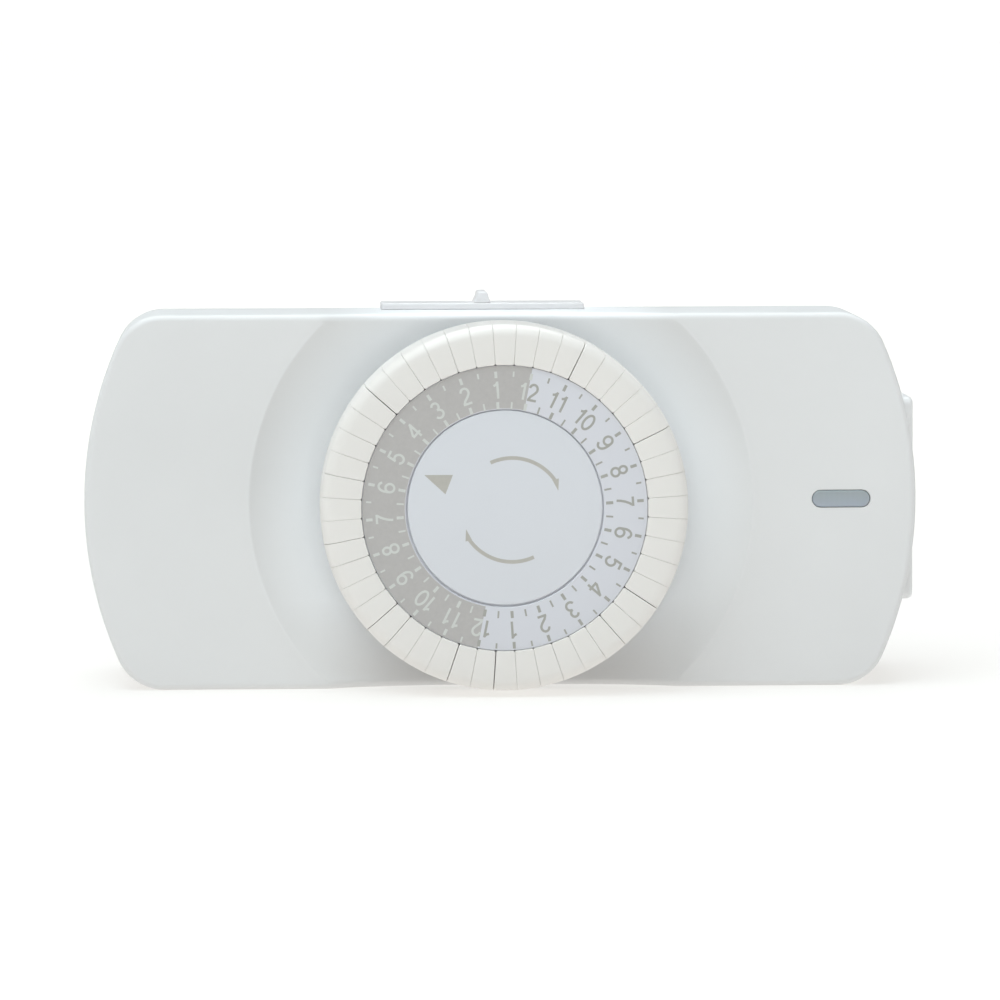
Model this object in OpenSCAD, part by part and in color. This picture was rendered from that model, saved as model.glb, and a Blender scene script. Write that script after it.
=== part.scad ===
// Plug-in 24-hour timer with a dial of 48 push-in tabs.
// Every part is drawn facing the viewer: x to the right, y up and z forward from
// the wall, with z = 0 on the wall face. upright() then stands it up, so that the
// finished timer has +Z up, +X to the right and its front towards -Y.
// Its origin is the middle of the wall face.

/* [Housing] */
// Overall width, across the curved ends
body_w = 142; // [138:1:148]
// Height
body_h = 64; // [63:0.5:66]
// Depth from the wall face to the front face
body_d = 38; // [38:0.5:40]
// Radius of the curved ends
end_r = 67; // [66:1:80]
// Radius of the four corners
corner_r = 8.5; // [7:0.5:11]
// Thickness of the walls
wall = 2; // [1.8:0.1:2.2]
// Height of the parting line between the two shells
split = 14; // [13.5:0.1:14.5]
// Depth of the shallow dish round the dial
dish_depth = 4; // [3.5:0.1:4]
// Radius of the dish at the front face
dish_r = 43; // [41:0.5:44]

/* [Dial] */
// Radius across the tabs
dial_r = 31; // [30.5:0.1:31.2]
// Height of the tabs above the front face
dial_rise = 14.3; // [14:0.1:15]
// Radius of the printed disc inside the tabs
disc_r = 23.95; // [23.8:0.05:24]
// Radius of the centre cap
cap_r = 16.4; // [16:0.1:16.6]
// Travel of a tab when it is pushed in
tab_travel = 4; // [3:0.1:4]
// Gap between two tabs
tab_gap = 0.14; // [0.1:0.02:0.2]

/* [Gears] */
// Module of the gear teeth
gear_module = 0.5; // [0.5]
// Teeth of the dial gear
dial_teeth = 72; // [72]
// Teeth of the idler's pinion
idler_pinion_teeth = 12; // [12]
// Teeth of the idler's wheel
idler_wheel_teeth = 48; // [48]
// Teeth of the motor pinion
motor_teeth = 12; // [12]

/* [Plug and outlet] */
// Height of the blades' centre line above the middle of the housing
plug_y = -6; // [-7:0.5:-5]
// Length of the blades outside the wall face
blade_out = 17.8; // [16:0.1:18.3]
// Length of the ground pin outside the wall face
ground_out = 20.6; // [20.4:0.1:21]
// Travel of the override slider
slider_travel = 4; // [3.5:0.1:4]

/* [Hidden] */
TAB_PAIRS = 24;
TAB_NODES = [for (i = [1:TAB_PAIRS]) str("tab_pair_", i < 10 ? "0" : "", i)];

$fn = 96;
cut = 1;            // how far a cutting shape runs past the face it cuts
slip = 0.05;        // radial clearance of every running or sliding fit

shell_colour = [0.86, 0.88, 0.88];
tab_colour = [0.94, 0.94, 0.92];
print_colour = [0.68, 0.69, 0.68];
brass_colour = [0.80, 0.66, 0.36];
steel_colour = [0.72, 0.73, 0.75];
nylon_colour = [0.90, 0.88, 0.80];
black_colour = [0.12, 0.12, 0.13];

// Housing outline
half_w = body_w / 2;
half_h = body_h / 2;
corner_y = half_h - corner_r;
corner_x = half_w - end_r + sqrt(pow(end_r - corner_r, 2) - pow(corner_y, 2));
corner_angle = asin(corner_y / (end_r - corner_r));
end_steps = 16;
corner_steps = 10;
rear_inset = 0.8;             // the rear shell stands this far inside the front one
shell_wall = wall + 0.2;      // the side walls are a little thicker than the faces
tongue_t = 1.3;               // rim of the rear shell that fits inside the front shell
tongue_h = 2;

// Dish and the levels behind it
dish_floor = body_d - dish_depth;
dish_flat_r = 30;             // the dish rises as a parabola from here to its rim
dish_steps = 9;
floor_back = dish_floor - wall;
backing_r = 33.6;             // flat part of the dish floor, seen from inside
backing_rim = 44.2;
hub_hole_r = 7.5;
plate_t = 1.5;
plate_back = floor_back - 7.2;
plate_front = plate_back + plate_t;

// Dial levels
dial_front = body_d + dial_rise;
disc_front = dial_front - 0.4;
cap_front = disc_front - 0.1;
disc_t = 1.6;
tab_block_t = 4.4;
carrier_front = dial_front - tab_block_t - tab_travel - 0.45;
carrier_back = carrier_front - 1.95;
disc_back = carrier_front + slip;
web_front = disc_back + 1.8;
hub_r = 7;
gear_seat_r = 5;
spindle_r = 3;
neck_r = 2.4;
disc_inner_r = 17;
hub_back = plate_front + 0.7;
gear_back = floor_back - 3.6;
gear_t = 2.3;
edge = 0.3;                   // small bevel on the dial's printed face

// Tabs
tab_count = 2 * TAB_PAIRS;
tab_pitch = 360 / tab_count;
tab_first = 90 - 3.75;        // a joint between two hours lies at this angle at rest
tab_inner_r = disc_r + 0.15;
tab_back = dial_front - 13.3;
tab_shoulder = 2.2;
skirt_r = 29.1;
carrier_r = 28.6;
stem_r = 26.75;
stem_t = 1.8;
stem_w = 2;
stem_back = dial_front - 13.4;
barb = 0.5;

// Gear train
pressure_angle = 25;
backlash = 0.04;
addendum = 0.8;
dedendum = 1.05;
idler_angle = -31;
motor_angle = 0;
wheel_back = plate_front + 0.4;
wheel_t = 1.4;
pinion_back = wheel_back + wheel_t;
pinion_t = 2.9;
pivot_r = 1;
idler_reach = gear_module * (dial_teeth + idler_pinion_teeth) / 2;
motor_reach = gear_module * (idler_wheel_teeth + motor_teeth) / 2;
idler_at = idler_reach * [cos(idler_angle), sin(idler_angle)];
pinion_at = idler_at + motor_reach * [cos(motor_angle), sin(motor_angle)];

// Motor and movement plate
motor_r = 17;
motor_t = 12.8;
motor_at = [26, -6];
motor_ear = 19.5;
ear_r = 3;
ear_t = 1;
plate_box = [[-47, -28], [46, 28]];
plate_corner = 4;
post_spots = [[-27, -13], [-13, 24], [24, 20], [-5, -25]];
post_r = 2.5;
small_screw_r = 1;
small_head_r = 2;
small_head_t = 1.6;
small_screw_l = 4.7;

// Switch and lever
lever_tab = 67.5;             // the lever stands under the tab at this angle from the top
lever_tip = stem_r * [-sin(lever_tab), cos(lever_tab)];
lever_y = lever_tip[1];
lever_pivot = [-40, floor_back - 2];
lever_hub_r = 2.2;
trunnion_r = 1.2;
arm_back = floor_back - 2.8;
arm_t = 1.8;
tip_r = 1.1;
tip_front = stem_back - 1.8;
switch_size = [19.8, 6.4, 10.2];
switch_x = -33.1;
button_x = -33;
button_r = 1.2;
button_front = arm_back - 0.15;
button_l = 6.1;
terminal_l = 4.5;
terminal_x = [-41, -33, -25];
spring_x = -28.5;
spring_turns = 4;
spring_r = 1.3;
spring_wire = 0.17;

// Override slider on the top wall
slider_x = -2.55;
slider_w = 35.1;
slider_t = 1.1;
slider_z = [split + 0.2, split + 9.2];
rib_base = 3.1;
rib_top = 1.8;
rib_h = 1.95;
stem_z = [split + 3, split + 6];
slider_stem = 4;
flange_z = [split + 2.2, split + 6.8];
flange_w = 10;
flange_t = 1.5;
flange_top = half_h - shell_wall - 0.1;
bridge_w = 11;
bridge_t = 0.8;
bridge_z = [split + 3, split + 6];
strip_t = 0.8;
strip_top = flange_top - flange_t - bridge_t - slip;
strip_x = [[-12, -1], [5, 14]];
shelf_x = [-13, 15];
shelf_t = 2;
shelf_wall_z = [split + 6.9, split + 8.9];

// Housing screws
screw_spots = [for (sx = [-1, 1]) for (sy = [-1, 1]) [56 * sx, 19 * sy]];
sleeve_r = 4.4;
sleeve_h = 12;
sleeve_bore_r = 3.2;
sleeve_hole_r = 1.6;
sleeve_shelf = 2;
boss_r = 3.6;
screw_r = 1.25;
screw_head_r = 2.8;
screw_head_t = 2;
screw_l = 13;

// Plug
blade_t = 1.5;
blade_gap = 12.7;
line_w = 6.35;
neutral_w = 7.95;
blade_in = [6.5, 9];          // how far the line and neutral blades reach inside
ground_drop = 11.9;
ground_r = 2.375;
ground_neck_r = 2.2;          // the pin is thinner where it passes through the wall
ground_in = 9;
ground_y = plug_y - ground_drop;
blade_hole_r = 1.6;
blade_hole_at = 11.7;
blade_chamfer = 1.2;
plug_pad = [12, 5];           // half-width of the thick pad inside the wall, and its margin
plug_pad_t = 1;
shoulder_t = 1;               // shoulder that holds a blade or the pin behind the pad
shoulder_back = shell_wall + plug_pad_t;

// Outlet in the right-hand end
face_x = half_w + 0.2;
face_z = 19;
face_y = -0.4;
face_h = 35;
face_w = 25;
face_corner = 3;
face_t = 2.5;
face_skirt = 5;               // how far the walls behind the face run back
face_lip = 1.5;
slot_y = 4;
slot_t = 2;
line_slot = 6.9;
neutral_slot = 8.5;
outlet_ground_r = 2.6;
outlet_ground_y = slot_y - ground_drop;
contact_x = [53.5, 67];
contact_w = 7;
contact_gap = 1.6;
leaf_t = 0.5;
ground_clip_r = 2.65;
ground_clip_x = [55, 67];

// Indicator
lens_at = [58.1, 0.15];
lens_w = 9.9;
lens_h = 2.9;
lens_stand = 0.15;
lens_lip = 0.8;
lamp_z = body_d - 6.5;
lamp_r = 2;
lamp_l = 7.6;
resistor_at = [48, 20];

// Straps and leads
strap_t = 0.8;
strap_w = 4;
neutral_riser_x = 49;
ground_riser_x = 50.6;
lead_r = 1.1;
thin_lead_r = 0.7;
line_route = [[5.58, -6, 5.4], [4.6, -6, 5.4], [3.6, -6, 5.4], [0, -1, 5], [-6, 4, 5], [-16, 8, 5.5],
              [-30, 10, 5.2], [-38, 10.2, 5.6], [-41, 10.2, 7.6], [-41, 10.2, 8.8], [-41, 10.2, 10.06]];
load_route = [[-25, 10.2, 10.06], [-25, 10.2, 9.2], [-25, 10.2, 8.4], [-22, 13, 6], [-8, 18, 6.5],
              [10, 19, 8], [28, 18, 9], [42, 14, 10.5], [49, 11.5, 12], [54, 11, 12.65],
              [55.5, 9.5, 12.65], [55.5, 8.5, 12.65], [55.5, 7.53, 12.65]];
motor_route_line = [[10.03, -11.98, 15], [9.2, -12.3, 15], [8.3, -12.6, 14.8], [7.9, -12, 11],
                    [8.6, -9.5, 7.5], [10, -7, 5.8], [9.4, -6, 5.4], [8.3, -6, 5.4], [7.13, -6, 5.4]];
motor_route_neutral = [[42.57, -2.06, 16], [43.5, -1.84, 16], [44.4, -1.62, 15.8],
                       [45.6, -3.5, 14], [45.6, -6, 12], [45.6, -6, 11], [45.6, -6, 9.83]];
curve_steps = 5;

// ---------- Shared shapes ----------

// Stands a part up: what was drawn facing the viewer now faces -Y
module upright() rotate([90, 0, 0]) children();

// Extrudes its child between two heights above the wall face
module prism(back, front) translate([0, 0, back]) linear_extrude(front - back) children();

// A box between two corners
module box(low, high) translate(low) cube(high - low);

// A cylinder along z between two heights
module post(spot, r, back, front) translate([spot[0], spot[1], back]) cylinder(r = r, h = front - back);

function arc(centre, r, from, to, steps) =
    [for (i = [0:steps]) let (a = from + (to - from) * i / steps) centre + r * [cos(a), sin(a)]];

// Housing outline, moved in by inset: curved ends, straight top and bottom, round corners
function body_outline(inset) = let (
    end = half_w - end_r,
    r = corner_r - inset,
    c = corner_angle
) concat(
    arc([end, 0], end_r - inset, -c, c, end_steps),
    arc([corner_x, corner_y], r, c + (90 - c) / corner_steps, 90, corner_steps - 1),
    arc([-corner_x, corner_y], r, 90, 180 - c - (90 - c) / corner_steps, corner_steps - 1),
    arc([-end, 0], end_r - inset, 180 - c, 180 + c, end_steps),
    arc([-corner_x, -corner_y], r, 180 + c + (90 - c) / corner_steps, 270, corner_steps - 1),
    arc([corner_x, -corner_y], r, 270, 360 - c - (90 - c) / corner_steps, corner_steps - 1));

// Rectangle of a width and a height about the origin, with round corners
function rounded_box(w, h, r, steps = 6) = concat(
    arc([w / 2 - r, h / 2 - r], r, 0, 90, steps), arc([r - w / 2, h / 2 - r], r, 90, 180, steps),
    arc([r - w / 2, r - h / 2], r, 180, 270, steps), arc([w / 2 - r, r - h / 2], r, 270, 360, steps));

// Slot with round ends, w from end to end
function stadium(w, h, steps = 12) = concat(
    arc([(w - h) / 2, 0], h / 2, -90, 90, steps), arc([(h - w) / 2, 0], h / 2, 90, 270, steps));

// ---------- Gear teeth ----------

function involute_angle(r, base_r) =
    let (a = acos(min(1, base_r / r))) tan(a) * 180 / PI - a;

// Outline of an involute gear with a tooth centred on the x axis
function gear_outline(teeth) = let (
    pitch_r = gear_module * teeth / 2,
    base_r = pitch_r * cos(pressure_angle),
    tip_r = pitch_r + addendum * gear_module,
    root_r = pitch_r - dedendum * gear_module,
    low_r = max(base_r, root_r),
    half = 90 / teeth - backlash / 2 / pitch_r * 180 / PI + involute_angle(pitch_r, base_r),
    radii = [for (i = [0:3]) low_r + (tip_r - low_r) * i / 3],
    flank = concat([[root_r, half - involute_angle(low_r, base_r)]],
                   [for (r = radii) [r, half - involute_angle(r, base_r)]])
) [for (t = [0:teeth - 1], side = [-1, 1], k = [0:4])
    let (p = side < 0 ? flank[k] : flank[4 - k], a = 360 * t / teeth + side * p[1])
    p[0] * [cos(a), sin(a)]];

module gear(teeth, turn, back, thick) prism(back, back + thick) rotate(turn) polygon(gear_outline(teeth));

// ---------- Swept wire ----------

function spline(p, a, t) = let (
    p0 = p[max(a - 1, 0)], p1 = p[a], p2 = p[a + 1], p3 = p[min(a + 2, len(p) - 1)]
) 0.5 * (2 * p1 + (p2 - p0) * t + (2 * p0 - 5 * p1 + 4 * p2 - p3) * t * t
         + (3 * p1 - p0 - 3 * p2 + p3) * t * t * t);

function smooth(p) = concat(
    [for (a = [0:len(p) - 2], s = [0:curve_steps - 1]) spline(p, a, s / curve_steps)],
    [p[len(p) - 1]]);

function unit(v) = v / norm(v);

// A round wire of radius r along a list of points
module wire(path, r, sides = 8, up = [0, 0, 1]) {
    last = len(path) - 1;
    rings = [for (i = [0:last]) let (
        ahead = unit(path[min(i + 1, last)] - path[max(i - 1, 0)]),
        across = unit(cross(abs(ahead * up) > 0.97 ? [0, 1, 0.3] : up, ahead)),
        over = cross(ahead, across)
    ) for (k = [0:sides - 1]) let (a = 360 * k / sides) path[i] + r * (cos(a) * across + sin(a) * over)];
    sleeve = [for (i = [0:last - 1], k = [0:sides - 1]) let (
        a = i * sides + k, b = i * sides + (k + 1) % sides
    ) each [[a, a + sides, b + sides], [a, b + sides, b]]];
    ends = [[for (k = [0:sides - 1]) k], [for (k = [0:sides - 1]) last * sides + sides - 1 - k]];
    polyhedron(rings, concat(sleeve, ends));
}

// ---------- Housing ----------

module dish() rotate_extrude() polygon(concat(
    [[0, body_d + cut], [0, dish_floor]],
    [for (i = [0:dish_steps]) let (t = i / dish_steps)
        [dish_flat_r + (dish_r - dish_flat_r) * t, dish_floor + dish_depth * t * t]],
    [[dish_r, body_d + cut]]));

module dish_backing() rotate_extrude() polygon([
    [0, floor_back], [backing_r, floor_back], [backing_rim, body_d - wall],
    [backing_rim, body_d], [0, body_d]]);

// Window in the right-hand end for the outlet's face
module end_window() translate([face_x - 14, face_y, face_z]) rotate([90, 0, 90])
    linear_extrude(16) polygon(rounded_box(face_h + 2 * slip, face_w + 2 * slip, face_corner));

// Shelf under the top wall that carries the override's fixed contacts
module override_shelf() {
    low = strip_top - strip_t - shelf_t;
    box([shelf_x[0], low, shelf_wall_z[0]], [shelf_x[1], half_h - wall, shelf_wall_z[1]]);
    box([shelf_x[0], low, stem_z[0] - 0.5], [shelf_x[1], low + shelf_t, shelf_wall_z[0] + 1]);
}

module front_housing() color(shell_colour) upright() difference() {
    union() {
        difference() {
            prism(split, body_d) polygon(body_outline(0));
            dish();
            difference() {
                prism(split - cut, body_d - wall) polygon(body_outline(shell_wall));
                dish_backing();
            }
        }
        for (spot = screw_spots) post(spot, boss_r, sleeve_h + 0.1, body_d - wall + 0.5);
        for (spot = post_spots) post(spot, post_r, plate_front, floor_back + 0.5);
        post(idler_at, 2.4, floor_back - 0.6, floor_back + 0.5);
        override_shelf();
    }
    translate([0, 0, floor_back - cut]) cylinder(r = hub_hole_r, h = wall + 2 * cut);
    for (spot = screw_spots) post(spot, screw_r + slip, sleeve_h - cut, sleeve_h + screw_l);
    for (spot = post_spots) post(spot, small_screw_r + slip, plate_front - cut, floor_back - 0.2);
    post(idler_at, pivot_r + slip, floor_back - cut, floor_back + 0.9);
    box([lever_tip[0] - 1.5, lever_y - 1.8, floor_back - cut],
        [lever_tip[0] + 2.3, lever_y + 1.8, dish_floor + cut]);
    translate([lens_at[0], lens_at[1], 0]) prism(body_d - wall - cut, body_d + cut)
        polygon(stadium(lens_w + 2 * slip, lens_h + 2 * slip));
    box([slider_x - slider_stem / 2 - slip, half_h - shell_wall - cut, stem_z[0] - slip],
        [slider_x + slider_travel + slider_stem / 2 + slip, half_h + cut, stem_z[1] + slip]);
    end_window();
}

module rear_housing() color(shell_colour) upright() difference() {
    union() {
        difference() {
            prism(0, split) polygon(body_outline(rear_inset));
            prism(shell_wall, split + cut) polygon(body_outline(rear_inset + shell_wall));
        }
        difference() {
            prism(split - 2, split + tongue_h) polygon(body_outline(shell_wall + 0.1));
            prism(split - 3, split + tongue_h + cut) polygon(body_outline(shell_wall + 0.1 + tongue_t));
        }
        for (spot = screw_spots) post(spot, sleeve_r, 0.5, sleeve_h);
        box([-plug_pad[0], ground_y - plug_pad[1], cut / 2],
            [plug_pad[0], plug_y + plug_pad[1] + cut, shell_wall + plug_pad_t]);
    }
    for (spot = screw_spots) {
        post(spot, sleeve_bore_r, -cut, sleeve_h - sleeve_shelf);
        post(spot, sleeve_hole_r, -cut, sleeve_h + cut);
    }
    blade_slot(blade_gap / 2, line_w);
    blade_slot(-blade_gap / 2, neutral_w);
    post([0, ground_y], ground_r + slip, -cut, shell_wall + plug_pad_t + cut);
    end_window();
}

module blade_slot(x, w) box(
    [x - blade_t / 2 - slip, plug_y - w / 2 - slip, -cut],
    [x + blade_t / 2 + slip, plug_y + w / 2 + slip, shell_wall + plug_pad_t + cut]);

// A cross recess in the head of a screw that is driven from behind
module cross_recess(spot, r, back, deep) for (a = [0, 90])
    translate([spot[0], spot[1], back]) rotate(a) box([-r, -r / 5, -cut], [r, r / 5, deep]);

module screw(spot, r, head_r, head_t, back, long) difference() {
    union() {
        post(spot, head_r, back, back + head_t);
        post(spot, r, back + head_t / 2, back + head_t + long);
    }
    cross_recess(spot, head_r * 0.6, back, head_t * 0.5);
}

module housing_screws() color(steel_colour) upright() for (spot = screw_spots)
    screw(spot, screw_r, screw_head_r, screw_head_t, sleeve_h - sleeve_shelf - screw_head_t, screw_l);

module movement_screws() color(steel_colour) upright() {
    for (spot = post_spots)
        screw(spot, small_screw_r, small_head_r, small_head_t, plate_back - small_head_t, small_screw_l);
    for (side = [-1, 1])
        screw([motor_at[0], motor_at[1] + side * motor_ear], small_screw_r, small_head_r, small_head_t,
              plate_back - ear_t - small_head_t, small_screw_l);
}

// ---------- Outlet and indicator ----------

module outlet_slot(z, long) box(
    [face_x - face_t - cut, slot_y - long / 2, z - slot_t / 2],
    [face_x + cut, slot_y + long / 2, z + slot_t / 2]);

module end_plate(back, front, grow) translate([back, face_y, face_z]) rotate([90, 0, 90])
    linear_extrude(front - back) polygon(rounded_box(face_h + 2 * grow, face_w + 2 * grow, face_corner));

module receptacle_face() color(shell_colour) upright() difference() {
    union() {
        end_plate(face_x - face_t - face_skirt, face_x, 0);
        end_plate(face_x - face_t - face_skirt - face_lip, face_x - face_t - face_skirt, face_lip);
    }
    end_plate(face_x - face_t - face_skirt - face_lip - cut, face_x - face_t, -wall);
    outlet_slot(face_z - blade_gap / 2, line_slot);
    outlet_slot(face_z + blade_gap / 2, neutral_slot);
    translate([face_x - face_t - cut, outlet_ground_y, face_z]) rotate([0, 90, 0])
        cylinder(r = outlet_ground_r, h = face_t + 2 * cut);
}

// Two spring leaves either side of a blade, joined at the back
module blade_contact(z) difference() {
    box([contact_x[0] - leaf_t, slot_y - contact_w / 2, z - contact_gap / 2 - leaf_t],
        [contact_x[1], slot_y + contact_w / 2, z + contact_gap / 2 + leaf_t]);
    box([contact_x[0], slot_y - contact_w, z - contact_gap / 2],
        [contact_x[1] + cut, slot_y + contact_w, z + contact_gap / 2]);
}

module outlet_contacts() color(brass_colour) upright() for (side = [-1, 1])
    blade_contact(face_z + side * blade_gap / 2);

module outlet_ground_contact() color(brass_colour) upright()
    translate([ground_clip_x[0], outlet_ground_y, face_z]) rotate([0, 90, 0]) difference() {
        cylinder(r = ground_clip_r + leaf_t, h = ground_clip_x[1] - ground_clip_x[0]);
        translate([0, 0, leaf_t]) cylinder(r = ground_clip_r, h = 20);
        translate([-10, -0.6, 4]) cube([20, 1.2, 20]);
    }

module indicator_lens() color([0.64, 0.67, 0.71]) upright() translate([lens_at[0], lens_at[1], 0]) {
    prism(body_d - wall - 0.5, body_d + lens_stand) polygon(stadium(lens_w, lens_h));
    prism(body_d - wall - 1.5, body_d - wall) polygon(stadium(lens_w + 2 * lens_lip, lens_h + 2 * lens_lip));
}

module neon_lamp() color([0.85, 0.6, 0.45]) upright() translate([lens_at[0] - lamp_l / 2, lens_at[1], lamp_z])
    rotate([0, 90, 0]) {
        cylinder(r = lamp_r, h = lamp_l);
        for (side = [-1, 1]) translate([0, side * 0.9, -4]) cylinder(r = 0.25, h = 5);
    }

module lamp_resistor() color([0.75, 0.65, 0.5]) upright()
    translate([resistor_at[0], resistor_at[1], face_z + 9]) rotate([90, 0, 0]) rotate_extrude() polygon([
        [0, 0], [0.25, 0], [0.25, 5], [0.9, 5], [1.2, 5.6], [1.2, 6.6], [0.95, 7], [0.95, 9.6],
        [1.2, 10], [1.2, 11], [0.9, 11.6], [0.25, 11.6], [0.25, 16.6], [0, 16.6]]);

// ---------- Dial ----------

module dial_disc() color(print_colour) upright() rotate_extrude() polygon([
    [spindle_r + slip, hub_back], [gear_seat_r, hub_back],
    [gear_seat_r, gear_back + gear_t + 0.1], [hub_r, gear_back + gear_t + 0.1],
    [hub_r, disc_back], [disc_inner_r + 1.4, disc_back],
    [disc_inner_r + 1.4, disc_front - disc_t], [disc_r - 1.7, disc_front - disc_t],
    [disc_r - 1.7, disc_back], [disc_r, disc_back],
    [disc_r, disc_front - edge], [disc_r - edge, disc_front],
    [disc_inner_r + edge, disc_front], [disc_inner_r, disc_front - edge],
    [disc_inner_r, web_front], [spindle_r + slip, web_front]]);

module tab_carrier() color(tab_colour) upright() difference() {
    rotate_extrude() polygon([
        [hub_r + slip, carrier_back], [carrier_r, carrier_back], [carrier_r, carrier_front],
        [disc_r - 1.75, carrier_front], [disc_r - 1.75, carrier_front + 2.5],
        [disc_r - 3.2, carrier_front + 2.5], [disc_r - 3.2, carrier_front],
        [hub_r + slip, carrier_front]]);
    for (i = [0:tab_count - 1]) rotate(tab_first + (i + 0.5) * tab_pitch)
        translate([stem_r - stem_t / 2 - 0.1, -stem_w / 2 - slip, carrier_back - cut])
            cube([stem_t + 0.2, stem_w + 2 * slip, 4]);
}

// One tab: a wedge with a rounded outer shoulder, an outer skirt and a barbed stem
module tab(middle) rotate(middle) {
    span = tab_pitch - tab_gap / dial_r * 180 / PI;
    shoulder = arc([dial_r - tab_shoulder, dial_front - tab_shoulder], tab_shoulder, 90, 0, 6);
    rotate(-span / 2) rotate_extrude(angle = span) polygon(concat(
        [[tab_inner_r, dial_front - tab_block_t], [tab_inner_r, dial_front - edge],
         [tab_inner_r + edge, dial_front]],
        shoulder,
        [[dial_r, tab_back], [skirt_r, tab_back], [skirt_r, dial_front - tab_block_t]]));
    translate([stem_r - stem_t / 2, -stem_w / 2, stem_back])
        cube([stem_t, stem_w, dial_front - tab_block_t + 1 - stem_back]);
    translate([stem_r - stem_t / 2 - barb, -stem_w / 2, carrier_back - 1.1]) cube([barb + 0.5, stem_w, 1]);
}

// The two half-hour tabs of one hour, counted anticlockwise from the top
module tab_pair(number) color(tab_colour) upright() for (half = [0, 1])
    tab(tab_first + (2 * (number - 1) + half + 1.5) * tab_pitch);

module centre_cap() color([0.82, 0.84, 0.86]) upright() rotate_extrude() polygon([
    [0, cap_front - 1.75], [neck_r + slip, cap_front - 1.75], [neck_r + slip, cap_front - 5.2],
    [4.6, cap_front - 5.2], [4.6, cap_front - disc_t], [cap_r, cap_front - disc_t],
    [cap_r, cap_front - edge], [cap_r - edge, cap_front], [0, cap_front]]);

module centre_spindle() color(steel_colour) upright() rotate_extrude() polygon([
    [0, plate_back - 0.9], [3, plate_back - 0.9], [3, plate_back], [2.2, plate_back],
    [2.2, plate_front], [4.2, plate_front], [4.2, plate_front + 0.6], [spindle_r, plate_front + 0.6],
    [spindle_r, cap_front - 5.4], [neck_r, cap_front - 5.4], [neck_r, cap_front - 1.8],
    [0, cap_front - 1.8]]);

module dial_gear() color(nylon_colour) upright() difference() {
    gear(dial_teeth, idler_angle, gear_back, gear_t);
    post([0, 0], gear_seat_r + 0.02, gear_back - cut, gear_back + gear_t + cut);
}

module clutch_washer() color(steel_colour) upright() difference() {
    rotate_extrude() polygon([
        [gear_seat_r + 0.02, hub_back + 0.2], [gear_seat_r + 0.6, hub_back + 0.2],
        [hub_r + 0.3, gear_back - 0.42], [hub_r + 0.3, gear_back - 0.02],
        [hub_r - 0.3, gear_back - 0.02], [gear_seat_r + 0.02, hub_back + 0.6]]);
    for (a = [0:60:300]) rotate(a) translate([gear_seat_r + 1, -0.3, hub_back]) cube([3, 0.6, 3]);
}

// ---------- Movement ----------

module plate_hole(spot, r) post(spot, r, plate_back - cut, plate_front + cut);

// The two ears that the lever's trunnions turn in
module lever_ears() difference() {
    for (side = [-1, 1]) translate([lever_pivot[0], lever_y + side * 3.5, 0])
        box([-2, -0.9, plate_back + 0.5], [2, 0.9, floor_back]);
    translate([lever_pivot[0], lever_y - 8, lever_pivot[1]]) rotate([-90, 0, 0])
        cylinder(r = trunnion_r + slip, h = 16);
}

module movement_plate() color(steel_colour) upright() {
    middle = (plate_box[0] + plate_box[1]) / 2;
    size = plate_box[1] - plate_box[0];
    difference() {
        translate([middle[0], middle[1], 0]) prism(plate_back, plate_front)
            polygon(rounded_box(size[0], size[1], plate_corner));
        plate_hole([0, 0], 2.2 + slip);
        plate_hole(idler_at, pivot_r + slip);
        plate_hole(pinion_at, 1.5);
        plate_hole([button_x, lever_y], button_r + 0.3);
        for (spot = post_spots) plate_hole(spot, small_screw_r + 0.1);
        for (side = [-1, 1])
            plate_hole([motor_at[0], motor_at[1] + side * motor_ear], small_screw_r + 0.1);
    }
    lever_ears();
}

module idler_gear() color(nylon_colour) upright() {
    translate([idler_at[0], idler_at[1], 0]) {
        gear(idler_wheel_teeth, motor_angle, wheel_back, wheel_t);
        gear(idler_pinion_teeth, idler_angle + 180 + 180 / idler_pinion_teeth, pinion_back - 0.2, pinion_t);
    }
    post(idler_at, pivot_r, plate_back + 0.1, wheel_back + 0.5);
    post(idler_at, pivot_r, pinion_back + 1, floor_back + 0.7);
}

module motor_case() color(steel_colour) upright() difference() {
    union() {
        post(motor_at, motor_r, plate_back - motor_t, plate_back);
        for (side = [-1, 1]) {
            post([motor_at[0], motor_at[1] + side * motor_ear], ear_r, plate_back - ear_t, plate_back);
            box([motor_at[0] - ear_r, motor_at[1] + min(side, 0) * motor_ear, plate_back - ear_t],
                [motor_at[0] + ear_r, motor_at[1] + max(side, 0) * motor_ear, plate_back]);
        }
    }
    for (side = [-1, 1]) post([motor_at[0], motor_at[1] + side * motor_ear], small_screw_r + 0.1,
                              plate_back - ear_t - cut, plate_back + cut);
    post(pinion_at, 1.05, plate_back - 4, plate_back + cut);
}

module motor_pinion() color(nylon_colour) upright() {
    translate([pinion_at[0], pinion_at[1], 0])
        gear(motor_teeth, motor_angle + 180 + 180 / motor_teeth, wheel_back - 0.1, wheel_t + 0.2);
    post(pinion_at, 1, plate_back - 3.9, wheel_back + 0.5);
}

// ---------- Switch ----------

module microswitch_case() color(black_colour) upright() difference() {
    translate([switch_x - switch_size[0] / 2, lever_y - switch_size[1] / 2, plate_back - switch_size[2]])
        cube(switch_size);
    post([button_x, lever_y], button_r + slip, plate_back - 3.4, plate_back + cut);
    for (x = terminal_x) box([x - 0.3, lever_y - 1.6, plate_back - switch_size[2] - cut],
                             [x + 0.3, lever_y + 1.6, plate_back - switch_size[2] + 2]);
}

module microswitch_terminals() color(brass_colour) upright() for (x = terminal_x) box(
    [x - 0.3, lever_y - 1.6, plate_back - switch_size[2] - terminal_l],
    [x + 0.3, lever_y + 1.6, plate_back - switch_size[2] + 2]);

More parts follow.
